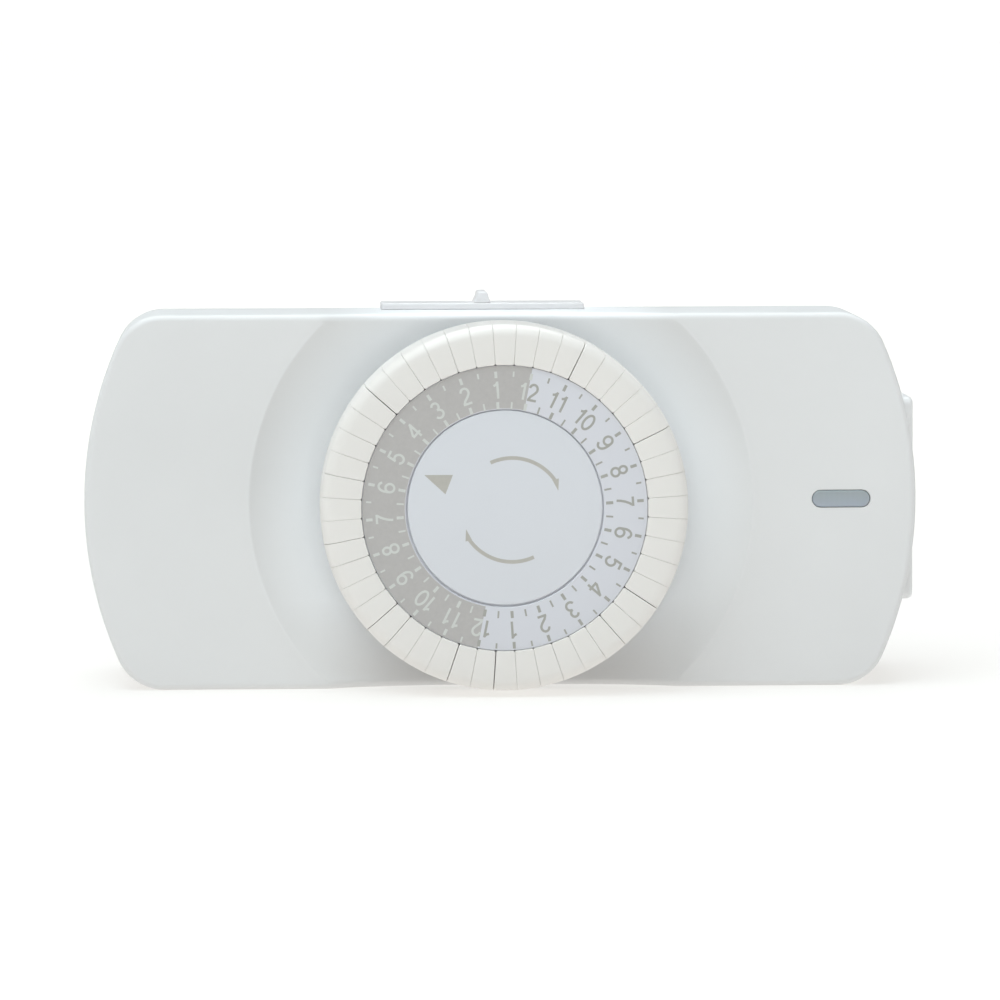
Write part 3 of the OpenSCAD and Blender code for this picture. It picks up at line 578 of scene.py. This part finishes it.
def front_shell():
    """One closed wall: out over the face, round its edge, down the side, and back inside."""
    s = Shape()
    edge = body_outline(FACE_EDGE)
    radii = [HUB_HOLE_R, 12, 18, 24, 28, 30] + [30 + 0.65 * k for k in range(1, 20)]
    radii += [42.7, 43, 43.15, 43.6, 46, 52, 60]
    margin = 0.45
    rings = []
    for r in radii:
        ring = []
        for x, y in edge:
            reach = hypot(x, y)
            k = min(r, reach - margin) / reach
            ring.append(at(x * k, y * k, face_level(reach * k)))
        rings.append(ring)
    levels = [face_level(hypot(x, y)) for x, y in edge]
    steps = 7
    for j in range(steps + 1):
        a = radians(90 * j / steps)
        rim = body_outline(FACE_EDGE * (1 - sin(a)))
        rings.append([at(x, y, level - FACE_EDGE * (1 - cos(a)))
                      for (x, y), level in zip(rim, levels)])
    for d, h in ((0, SPLIT + 2), (0, SPLIT + 0.35), (0.1, SPLIT + 0.1), (0.35, SPLIT),
                 (SIDE_WALL, SPLIT), (SIDE_WALL, 30)):
        rings.append([at(x, y, h) for x, y in body_outline(d)])
    for r in (44, 33, HUB_HOLE_R):
        ring = []
        for x, y in body_outline(SIDE_WALL):
            reach = hypot(x, y)
            k = min(1.0, r / reach)
            ring.append(at(x * k, y * k, face_level(reach * k) - WALL))
        rings.append(ring)
    s.loft(rings, loop=True)
    hole = Shape()
    hole.loft(pillow(stadium(LENS_W + LENS_GAP, LENS_H + LENS_GAP), 33, 40, 0, 0, lens_spot))
    tools = [window_cutter()] + [block(*corners) for corners in FRONT_OPENINGS] + [hole]
    return carve(s.mesh("front_shell"), join(*tools).mesh("front_cutter"))


def rear_shell():
    """A tray with a lip that fits inside the front shell, and four screw sleeves."""
    s = Shape()
    rings = [[at(x, y, 0) for x, y in body_outline(REAR_INSET + 2.0)]]
    steps = 6
    for j in range(steps + 1):
        a = radians(90 * j / steps)
        outline = body_outline(REAR_INSET + REAR_EDGE * (1 - sin(a)))
        rings.append([at(x, y, REAR_EDGE * (1 - cos(a))) for x, y in outline])
    for d, h in ((REAR_INSET, SPLIT - 0.3), (REAR_INSET + 0.1, SPLIT - 0.08),
                 (REAR_INSET + 0.3, SPLIT), (2.3, SPLIT), (2.3, SPLIT + 2), (3.6, SPLIT + 2),
                 (3.6, SIDE_WALL)):
        rings.append([at(x, y, h) for x, y in body_outline(d)])
    s.loft(rings)
    tools = [window_cutter()]
    bore = [(0, -1), (4.5, -1), (SCREW_HEAD_R, 0.3), (SCREW_HEAD_R, 3), (0, 3)]
    pin = [(0, -1), (2.5, -1), (2.5, 4), (0, 4)]
    for profile, spot in [(bore, spot) for spot in SCREWS] + [(pin, (0, BLADE_Y - GROUND_DROP))]:
        hole = Shape()
        hole.loft(turned(profile, 64, spot), loop=True)
        tools.append(hole)
    for x, wide in ((BLADE_X, 6.35), (-BLADE_X, 7.95)):
        half = wide / 2 + 0.1
        tools.append(block((x - 0.85, BLADE_Y - half, -1), (x + 0.85, BLADE_Y + half, 4)))
    shell = carve(s.mesh("rear_shell"), join(*tools).mesh("rear_cutter"))
    sleeves = Shape()
    profile = fillet([(SCREW_HEAD_R, 2.2, 0), (SLEEVE_R, 2.2, 0), (SLEEVE_R, 12, 0.3),
                      (SCREW_R, 12, 0), (SCREW_R, 10, 0), (SCREW_HEAD_R, 10, 0)], 3)
    for spot in SCREWS:
        sleeves.loft(turned(profile, 64, spot), loop=True)
    work = bmesh.new()
    work.from_mesh(shell)
    work.from_mesh(sleeves.mesh("sleeves"))
    work.to_mesh(shell)
    work.free()
    smooth(shell)
    return shell


put("front_shell", front_shell(), [shell_plastic], "root", ["front_housing"])
put("rear_shell", rear_shell(), [rear_plastic], "root", ["rear_housing"])


def outlet_pad():
    """Pad with rounded edges, two blade slots and a ground hole, each with a small lead-in."""
    outline = rounded_box(PAD_TALL, PAD_WIDE, PAD_CORNER, 10)
    inner = inset(outline, PAD_RIM)
    s = Shape()
    s.loft([[end_spot(a, b, PAD_X - PAD_PLATE) for a, b in inner],
            [end_spot(a, b, PAD_FOOT) for a, b in inner],
            *pillow(outline, PAD_FOOT, PAD_X, 0, 0.9, end_spot, 7),
            [end_spot(a, b, PAD_X) for a, b in inner]])
    # Level and extra width of a hole, from the inside outwards.
    lead_in = ((PAD_X - 4, 0.0), (PAD_X - 0.45, 0.0), (PAD_X + 0.05, 0.5), (PAD_X + 1, 0.5))
    tools = []
    for h, wide in ((PAD_H - BLADE_X, 6.9), (PAD_H + BLADE_X, 8.5)):
        slot = Shape()
        slot.loft([[at(level, SLOT_Y + a, h + b)
                    for a, b in rounded_box(wide + 2 * grow, 2 + 2 * grow, 0.25, 4)]
                   for level, grow in lead_in])
        tools.append(slot)
    hole = Shape()
    hole.loft([[at(level, y, h) for y, h in circle(SLOT_Y - GROUND_DROP, PAD_H, 2.6 + grow, 64)]
               for level, grow in lead_in])
    tools.append(hole)
    return carve(s.mesh("outlet_pad"), join(*tools).mesh("pad_cutter"))


put("outlet_pad", outlet_pad(), [pad_plastic], "root", ["receptacle_face"])


def indicator_lens():
    """The lens, and a flange behind the face that holds it."""
    s = Shape()
    outline = stadium(LENS_W, LENS_H, 20)
    rings = pillow(outline, 35.2, LENS_FRONT, 0, 0.35, lens_spot, 6)
    rings += [[lens_spot(x, y, LENS_FRONT) for x, y in inset(outline, 0.7)]]
    s.loft(rings)
    flange = Shape()
    flange.loft(pillow(stadium(LENS_W + 1.6, LENS_H + 1.6), 34.6, 35.6, 0, 0, lens_spot))
    return join(s, flange).mesh("lens")


put("lens", indicator_lens(), [lens_plastic], "root", ["indicator_lens"])


# ---------- Override slider ----------

def slider():
    """A plate with a rib across it, and a stem with a flange that holds it in the top wall."""
    top = SLIDER_FOOT + SLIDER_T

    def on_plate(a, b, level):
        return at(SLIDER_X + a, level, SPLIT + 4.7 - b)

    def on_rib(a, b, level):
        return at(SLIDER_X + a, top + b, level)

    plate = Shape()
    outline = rounded_box(SLIDER_W, SLIDER_D, 0.5, 5)
    rings = pillow(outline, SLIDER_FOOT, top, 0.12, 0.3, on_plate, 5)
    rings.append([on_plate(a, b, top) for a, b in inset(outline, 0.45)])
    plate.loft(rings)
    rib = Shape()
    profile = fillet([(-1.55, -0.3, 0), (1.55, -0.3, 0), (1.5, 0.12, 0.1), (1.0, 1.2, 0.2),
                      (0.86, 1.95, 0.55), (-0.86, 1.95, 0.55), (-1.0, 1.2, 0.2),
                      (-1.5, 0.12, 0.1)], 6)
    rib.loft(pillow(profile, SPLIT + 0.6, SPLIT + 8.8, 0.28, 0.28, on_rib, 4))
    stem = block((SLIDER_X - 2, 29.2, SPLIT + 3), (SLIDER_X + 2, SLIDER_FOOT + 0.5, SPLIT + 6))
    flange = block((SLIDER_X - 5, 28.2, SPLIT + 2.2), (SLIDER_X + 5, 29.7, SPLIT + 6.8))
    return join(plate, rib, stem, flange).mesh("slider")


put("slider", slider(), [slider_plastic], "slider", ["override_slider"])


# ---------- Dial ----------

def dial_disc():
    """Hub, drum and printed ring in one, from a profile of (r, h, rounding)."""
    profile = [(3.05, 27.0, 0), (5, 27.0, 0.2), (5, 30.8, 0), (7, 30.8, 0.2), (7, 43.5, 0),
               (18.4, 43.5, 0), (18.4, 50.3, 0), (22.25, 50.3, 0), (22.25, 43.5, 0),
               (DISC_R, 43.5, 0.1), (DISC_R, DISC_FRONT, 0.08), (DISC_IN_R, DISC_FRONT, 0.2),
               (DISC_IN_R, LEDGE, 0.05), (16.2, LEDGE, 0.05), (16.2, 50.8, 0.05),
               (17.0, 50.8, 0.1), (17.0, 45.3, 0.2), (3.05, 45.3, 0)]
    s = Shape()
    s.loft(turned(fillet(profile, 4), 240), loop=True)
    return s.mesh("disc")


put("disc", dial_disc(), [disc_plastic], "dial", ["dial_disc"])


def spoke(turn, r, side=0.0):
    """A point at radius r, turn degrees anticlockwise from the top, moved sideways by side."""
    a = radians(turn)
    return (-r * sin(a) + side * cos(a), r * cos(a) + side * sin(a))


class Print(Shape):
    """Printed shapes on one face: thin closed slabs that start below it and stand a hair above.

    Strokes that cross each other get slightly different heights, so that no two faces coincide.
    """

    DEPTH, RISE, STEP = 0.02, 0.008, 0.0015

    def __init__(self, face):
        super().__init__()
        self.foot, self.base = face - self.DEPTH, face + self.RISE
        self.level = self.base

    def fresh(self):
        """Starts again at the lowest height, for a shape that crosses no earlier one."""
        self.level = self.base

    def patch(self, points):
        self.level += self.STEP
        self.loft([[at(x, y, level) for x, y in points] for level in (self.level, self.foot)])

    def band(self, sides, closed=False):
        """Fills the strip between pairs of points."""
        self.level += self.STEP
        self.loft([[at(*a, self.level), at(*b, self.level), at(*b, self.foot), at(*a, self.foot)]
                   for a, b in sides], loop=closed)

    def stroke(self, points, width, closed=False):
        """A line of constant width along points, with mitred joints."""
        n, half, sides = len(points), width / 2, []
        for i, p in enumerate(points):
            before = points[i - 1] if i or closed else p
            after = points[(i + 1) % n] if i < n - 1 or closed else p
            a = unit(p[0] - before[0], p[1] - before[1]) if before != p else None
            b = unit(after[0] - p[0], after[1] - p[1]) if after != p else None
            a, b = a or b, b or a
            side = unit(-(a[1] + b[1]), a[0] + b[0])
            k = half / max(0.45, side[0] * -b[1] + side[1] * b[0])
            x, y = side[0] * k, side[1] * k
            sides.append(((p[0] + x, p[1] + y), (p[0] - x, p[1] - y)))
        self.band(sides, closed)


def path(*points):
    """An open stroke of a glyph."""
    return points, False


def closed_oval(cx, cy, rx, ry, steps):
    """A closed oval stroke of a glyph."""
    return oval(cx, cy, rx, ry, 0, 360, steps)[:-1], True


# Strokes in a glyph's own square: u to the right, v up, both in digit heights.
SIX = oval(0.33, 0.56, 0.27, 0.40, 35, 180, 16) + [(0.06, 0.48), (0.062, 0.38), (0.075, 0.30)]
GLYPHS = {
    "0": [closed_oval(0.31, 0.5, 0.245, 0.455, 30)],
    "1": [path((0.36, 0), (0.36, 0.985)), path((0.36, 0.93), (0.27, 0.80), (0.13, 0.735))],
    "2": [path(*oval(0.30, 0.705, 0.225, 0.25, 172, -32, 20), (0.40, 0.45), (0.19, 0.24),
               (0.085, 0.05)),
          path((0.03, 0.045), (0.55, 0.045))],
    "3": [path(*oval(0.29, 0.735, 0.205, 0.22, 158, -90, 20)),
          path(*oval(0.29, 0.275, 0.24, 0.235, 92, -160, 22))],
    "4": [path((0.42, 0), (0.42, 0.98)), path((0.42, 0.92), (0.05, 0.33)),
          path((0.01, 0.275), (0.59, 0.275))],
    "5": [path((0.53, 0.94), (0.13, 0.94)), path((0.17, 0.98), (0.10, 0.45)),
          path(*oval(0.295, 0.325, 0.245, 0.275, 140, -158, 22))],
    "6": [path(*SIX), closed_oval(0.31, 0.30, 0.24, 0.255, 28)],
    "7": [path((0.04, 0.94), (0.58, 0.94)),
          path((0.53, 0.93), (0.40, 0.72), (0.30, 0.48), (0.24, 0.24), (0.22, 0.0))],
    "8": [closed_oval(0.31, 0.735, 0.20, 0.22, 26),
          closed_oval(0.31, 0.275, 0.24, 0.235, 28)],
    "9": [path(*((0.62 - x, 1 - y) for x, y in SIX)), closed_oval(0.31, 0.70, 0.24, 0.255, 28)],
}
GLYPH_MIDDLE = 0.31
DIGIT_H, DIGIT_STEP, DIGIT_LINE, DIGIT_R = 2.92, 1.68, 0.40, 20.3
PRINT_DROP = -0.33
FIRST_HOUR = 3.75  # where the 1 of the grey half stands, in degrees
NOON = FIRST_HOUR - 15
# Width of an hour mark and a half-hour mark, and the length of its outer stroke.
MARKS = ((0.50, 1.1), (0.30, 0.9))
MARK_IN, MARK_OUT = (17.05, 18.25), 23.4
GREY_RADII = (DISC_IN_R + 0.18, DISC_R - 0.07)


def printed(turn, r, side=0.0):
    """A spoke's point, on a print that sits a little low on its disc."""
    x, y = spoke(turn, r, side)
    return (x, y + PRINT_DROP)


def digit(target, glyph, turn, slide):
    """Draws one digit with its top outwards. slide moves it along the ring, in mm."""
    target.fresh()
    for points, closed in GLYPHS[glyph]:
        placed = [printed(turn, DIGIT_R + (v - 0.5) * DIGIT_H, (u - GLYPH_MIDDLE) * DIGIT_H + slide)
                  for u, v in points]
        target.stroke(placed, DIGIT_LINE, closed)


def dial_print():
    """Grey half, hour and half-hour marks, and numbers, as three inks."""
    grey, light, dark = (Print(DISC_FRONT + rise) for rise in (0, Print.RISE, Print.RISE))
    rays = [spoke(NOON + i, 1) for i in range(181)]
    grey.band([[(r * x, r * y) for r in GREY_RADII] for x, y in rays])
    for k in range(48):
        turn = FIRST_HOUR + 7.5 * k
        target = light if (turn - NOON) % 360 < 180 else dark
        wide, length = MARKS[k % 2]
        target.fresh()
        target.stroke([printed(turn, r) for r in MARK_IN], wide)
        target.stroke([printed(turn, MARK_OUT - length), printed(turn, MARK_OUT)], wide)
    for half in (0, 1):
        for hour in range(1, 13):
            turn = FIRST_HOUR + 15 * (hour - 1) + 180 * half
            text = str(hour)
            for i, glyph in enumerate(text):
                slide = (i - (len(text) - 1) / 2) * DIGIT_STEP
                # The two digits of a 12 stand on either side of the grey half's end.
                in_grey = i == 1 - half if hour == 12 else not half
                digit(light if in_grey else dark, glyph, turn, slide)
    return grey, light, dark


for shape, name, material in zip(dial_print(), ("grey_half", "light_marks", "dark_marks"),
                                 (grey_ink, light_ink, dark_ink)):
    put(name, shape.mesh(name), [material], "dial")


# ---------- Centre cap ----------

def centre_cap():
    """Fixed cap with a socket for the spindle, from a profile of (r, h, rounding)."""
    rim = LEDGE + LEDGE_GAP
    profile = [(0, 50.05, 0), (2.45, 50.05, 0), (2.45, 46.6, 0), (4.6, 46.6, 0), (4.6, 50.2, 0),
               (16.0, 50.2, 0.1), (16.0, rim, 0.05), (CAP_R, rim, 0.05), (CAP_R, CAP_FRONT, 0.2),
               (0, CAP_FRONT, 0)]
    s = Shape()
    s.loft(turned(fillet(profile, 4), 200, (0.02, 0.1)), loop=True)
    return s.mesh("cap")


def cap_print():
    """A pointer and two arrows that show which way the dial turns."""
    p = Print(CAP_FRONT)
    cx, cy, r = 1.21, -0.29, 8.76
    head = [(7.98, 4.72), (9.06, 4.98), (8.98, 2.9)]
    p.patch([(-13.55, 5.68), (-10.0, 2.42), (-8.73, 5.68)])
    for flip in (1, -1):
        shaft, point = ([(cx + flip * (x - cx), cy + flip * (y - cy)) for x, y in part]
                        for part in (arc(cx, cy, r, 114.5, 33.5, 40), head))
        p.stroke(shaft, 0.62)
        p.patch(point)
    return p.mesh("cap_marks")


put("cap", centre_cap(), [cap_plastic], "root", ["centre_cap"])
put("cap_marks", cap_print(), [arrow_ink], "root")


# ---------- Tabs ----------

TAB_IN_R = 24.1
TAB_PROFILE = fillet([
    (TAB_IN_R, 47.9, 0.1), (29.1, 47.9, 0.1), (29.1, 39.0, 0.2), (DIAL_R, 39.0, 0.25),
    (DIAL_R, DIAL_FRONT, 2.2), (TAB_IN_R, DIAL_FRONT, 0.22)], 6)
TAB_EDGE, TAB_CORNER = 0.06, 0.3
TAB_STEP, TAB_START = 7.5, 97.5  # degrees from tab to tab, and where the first one stands
STEM_HALF = 0.98
# The stem and its barb: from and to which height, and from and to which radius.
STEM_PARTS = ((38.9, 48.2, 25.85, 27.65), (40.4, 41.4, 25.35, 26.0))


def tab(shape, middle, lift, gaps):
    """One tab: a wedge with a soft outer shoulder, softened sides, a skirt and a barbed stem.

    Each section is a copy of the profile at an angle. Towards a side it shrinks by the soft
    edge, and its inner end draws back by the round inner corner. gaps are the widths left free
    on its two sides.
    """
    depths = [0.0, 0.012, 0.035, TAB_EDGE, 0.14, 0.21, TAB_CORNER]
    sections = [(-1, d) for d in depths] + [(0, t) for t in (-0.6, -0.2, 0.2, 0.6)]
    sections += [(1, d) for d in reversed(depths)]
    centre = radians(middle)
    rings = []
    for end, value in sections:
        shrink, back = 0.0, 0.0
        if end:
            shrink = TAB_EDGE - sqrt(max(0.0, TAB_EDGE ** 2 - max(0.0, TAB_EDGE - value) ** 2))
            back = TAB_CORNER - sqrt(max(0.0, TAB_CORNER ** 2 - (TAB_CORNER - value) ** 2))
        ring = []
        for r, h in inset(TAB_PROFILE, shrink):
            r += back * max(0.0, 1 - (r - TAB_IN_R) / 1.5)
            side = radians(TAB_STEP / 2) - gaps[end > 0] / 2 / r
            a = centre + (end * (side - value / r) if end else radians(3.6) * value)
            ring.append(at(r * cos(a), r * sin(a), h + lift))
        rings.append(ring)
    shape.loft(rings)
    across = (-sin(centre), cos(centre))
    for low, high, r0, r1 in STEM_PARTS:
        corners = ((r0, -STEM_HALF), (r1, -STEM_HALF), (r1, STEM_HALF), (r0, STEM_HALF))
        shape.loft([[at(r * cos(centre) + w * across[0], r * sin(centre) + w * across[1], h)
                     for r, w in corners] for h in (low, high)])


# Most tabs lean on their neighbours with hardly a gap, and a few stand apart.
chance = random.Random(48)
FREE = {6: 0.13, 10: 0.05, 13: 0.06, 17: 0.10, 18: 0.07, 21: 0.12,
        23: 0.14, 29: 0.08, 31: 0.12, 39: 0.11, 44: 0.12}
GAPS = [FREE.get(k, chance.uniform(0.02, 0.035)) for k in range(48)]
for number in range(1, 25):
    s = Shape()
    for k in (2 * number - 2, 2 * number - 1):
        sunk = abs(chance.gauss(0, 0.03))
        tab(s, TAB_START + TAB_STEP * k, -sunk, (GAPS[k], GAPS[(k + 1) % 48]))
    name, node = f"tabs_{number:02d}", f"tab_pair_{number:02d}"
    put(name, s.mesh(name, sharp=38), [tab_plastic], node, [node])


# ---------- CAD nodes that stay, with their finishes ----------

FINISH = {
    "housing_screws": zinc, "movement_screws": zinc, "movement_plate": zinc, "motor_case": zinc,
    "centre_spindle": zinc, "clutch_washer": spring_steel, "lever_spring": spring_steel,
    "neon_lamp": lamp_glass, "lamp_resistor": ceramic, "tab_carrier": tab_plastic,
    "dial_gear": nylon, "idler_gear": nylon, "motor_pinion": nylon, "switch_lever": nylon,
    "microswitch_case": black_plastic, "microswitch_button": red_plastic,
    "microswitch_terminals": brass, "override_bridge": brass, "override_contacts": brass,
    "line_blade": brass, "neutral_blade": brass, "ground_pin": brass,
    "outlet_contacts": brass, "outlet_ground_contact": brass,
    "neutral_strap": brass, "ground_strap": brass,
    "line_lead": black_lead, "load_lead": black_lead, "motor_leads": white_lead,
}
SOFT_EDGES = {"line_blade": 0.18, "neutral_blade": 0.18, "housing_screws": 0.12}
for name, material in FINISH.items():
    node = NODES[name]
    node.data.materials.clear()
    node.data.materials.append(material)
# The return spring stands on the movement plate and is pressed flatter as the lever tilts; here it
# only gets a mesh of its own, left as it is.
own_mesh(NODES["lever_spring"])
for name, width in SOFT_EDGES.items():
    soften = NODES[name].modifiers.new("soft_edges", "BEVEL")
    soften.width, soften.segments, soften.limit_method = width * MM, 2, "ANGLE"
    soften.angle_limit = radians(50)
    soften.use_clamp_overlap = True


# ---------- Floor, light and camera ----------

FLOOR_R, FLOOR_DROP = 60.0, 0.05 * MM  # metres
GLOW_R, GLOW = (0.12, 2.0), (0.62, 1.0)  # the floor's glow grows between these radii
HORIZON = (0.03, 0.12)  # the sky fades from WALL_LIGHT to SKY_LIGHT over this rise
WALL_LIGHT, SKY_LIGHT = 1.12, 0.12
# Turn from the front, rise, power and colour of each soft box.
LIGHTS = {
    "left_light": (-50, 60, 26.5, (0.91, 0.985, 1.0)),
    "front_light": (0, 50, 14, (0.88, 0.97, 1.0)),
    "right_light": (75, 12, 5, (0.95, 0.98, 1.0)),
    "rear_light": (0, 105, 31.5, (0.93, 0.98, 1.0)),
}
LIGHT_AWAY, LIGHT_SIZE = 2.2, 2.0
# The camera stands to the left, above and away, rolled a little, and sees VIEW_WIDE metres.
VIEW_TURN, VIEW_TILT, VIEW_ROLL, VIEW_AWAY = 2.43, 4.78, -0.14, 0.9587
VIEW_WIDE, SENSOR = 0.17046, 36


def floor():
    """A wide pale floor. Far away it glows more, so that it stays as pale as under the lamps."""
    n = Nodes("floor_paint")
    paint = n.mix(n.noise(3, 3.0), (0.34, 0.34, 0.34, 1), (0.36, 0.36, 0.36, 1))
    n.link(paint, n.main.inputs["Base Color"])
    n.link(n.remap(n.distance(n.where), *GLOW_R, *GLOW), n.main.inputs["Emission Strength"])
    n.set(Roughness=0.9, Specular_IOR_Level=0.1, Emission_Color=(1.0, 0.985, 0.95, 1))
    s = Shape()
    z = cad_box[0][2] - FLOOR_DROP
    s.faces.append(s.ring([(x, y, z) for x, y in circle(0, 0, FLOOR_R, 48)]))
    data = s.mesh("floor", solid=False)
    if data.polygons[0].normal.z < 0:
        data.flip_normals()
    put("floor", data, [n.material], None)


def soft_light(name, turn, rise, power, colour):
    """A round soft box turned from the front by turn degrees and raised by rise degrees."""
    a, e = radians(turn), radians(rise)
    aim = Vector((0, -0.03, 0))
    data = bpy.data.lights.new(name, "AREA")
    data.shape, data.size, data.energy, data.color = "DISK", LIGHT_SIZE, power, colour
    lamp = bpy.data.objects.new(name, data)
    lamp.visible_camera = False
    lamp.location = aim + LIGHT_AWAY * Vector((sin(a) * cos(e), -cos(a) * cos(e), sin(e)))
    lamp.rotation_euler = (aim - lamp.location).to_track_quat("-Z", "Y").to_euler()
    bpy.context.scene.collection.objects.link(lamp)


def studio():
    """A pale wall of light round the horizon under a dim sky, and the soft boxes."""
    world = bpy.data.worlds.new("studio")
    world.use_nodes = True
    tree = world.node_tree
    back = tree.nodes["Background"]
    split = tree.nodes.new("ShaderNodeSeparateXYZ")
    fade = tree.nodes.new("ShaderNodeMapRange")
    set_range(fade, *HORIZON, WALL_LIGHT, SKY_LIGHT)
    tree.links.new(tree.nodes.new("ShaderNodeTexCoord").outputs["Generated"], split.inputs[0])
    tree.links.new(split.outputs["Z"], fade.inputs["Value"])
    tree.links.new(fade.outputs["Result"], back.inputs["Strength"])
    back.inputs["Color"].default_value = (1.0, 0.985, 0.96, 1)
    bpy.context.scene.world = world
    for name, values in LIGHTS.items():
        soft_light(name, *values)
    bpy.context.scene.view_settings.view_transform = "Standard"


def camera():
    aim = Vector(at(-0.25, 0.25, BODY_D))
    turn, tilt = radians(VIEW_TURN), radians(VIEW_TILT)
    place = aim + VIEW_AWAY * Vector((-sin(turn) * cos(tilt), -cos(turn) * cos(tilt), sin(tilt)))
    data = bpy.data.cameras.new("camera")
    data.sensor_width = SENSOR
    data.lens = SENSOR * VIEW_AWAY / VIEW_WIDE
    data.clip_start, data.clip_end = 0.05, 200
    view = bpy.data.objects.new("camera", data)
    view.location = place
    facing = (aim - place).to_track_quat("-Z", "Y").to_matrix().to_4x4()
    view.rotation_euler = (facing @ Matrix.Rotation(radians(VIEW_ROLL), 4, "Z")).to_euler()
    bpy.context.scene.collection.objects.link(view)
    bpy.context.scene.camera = view


floor()
studio()
camera()
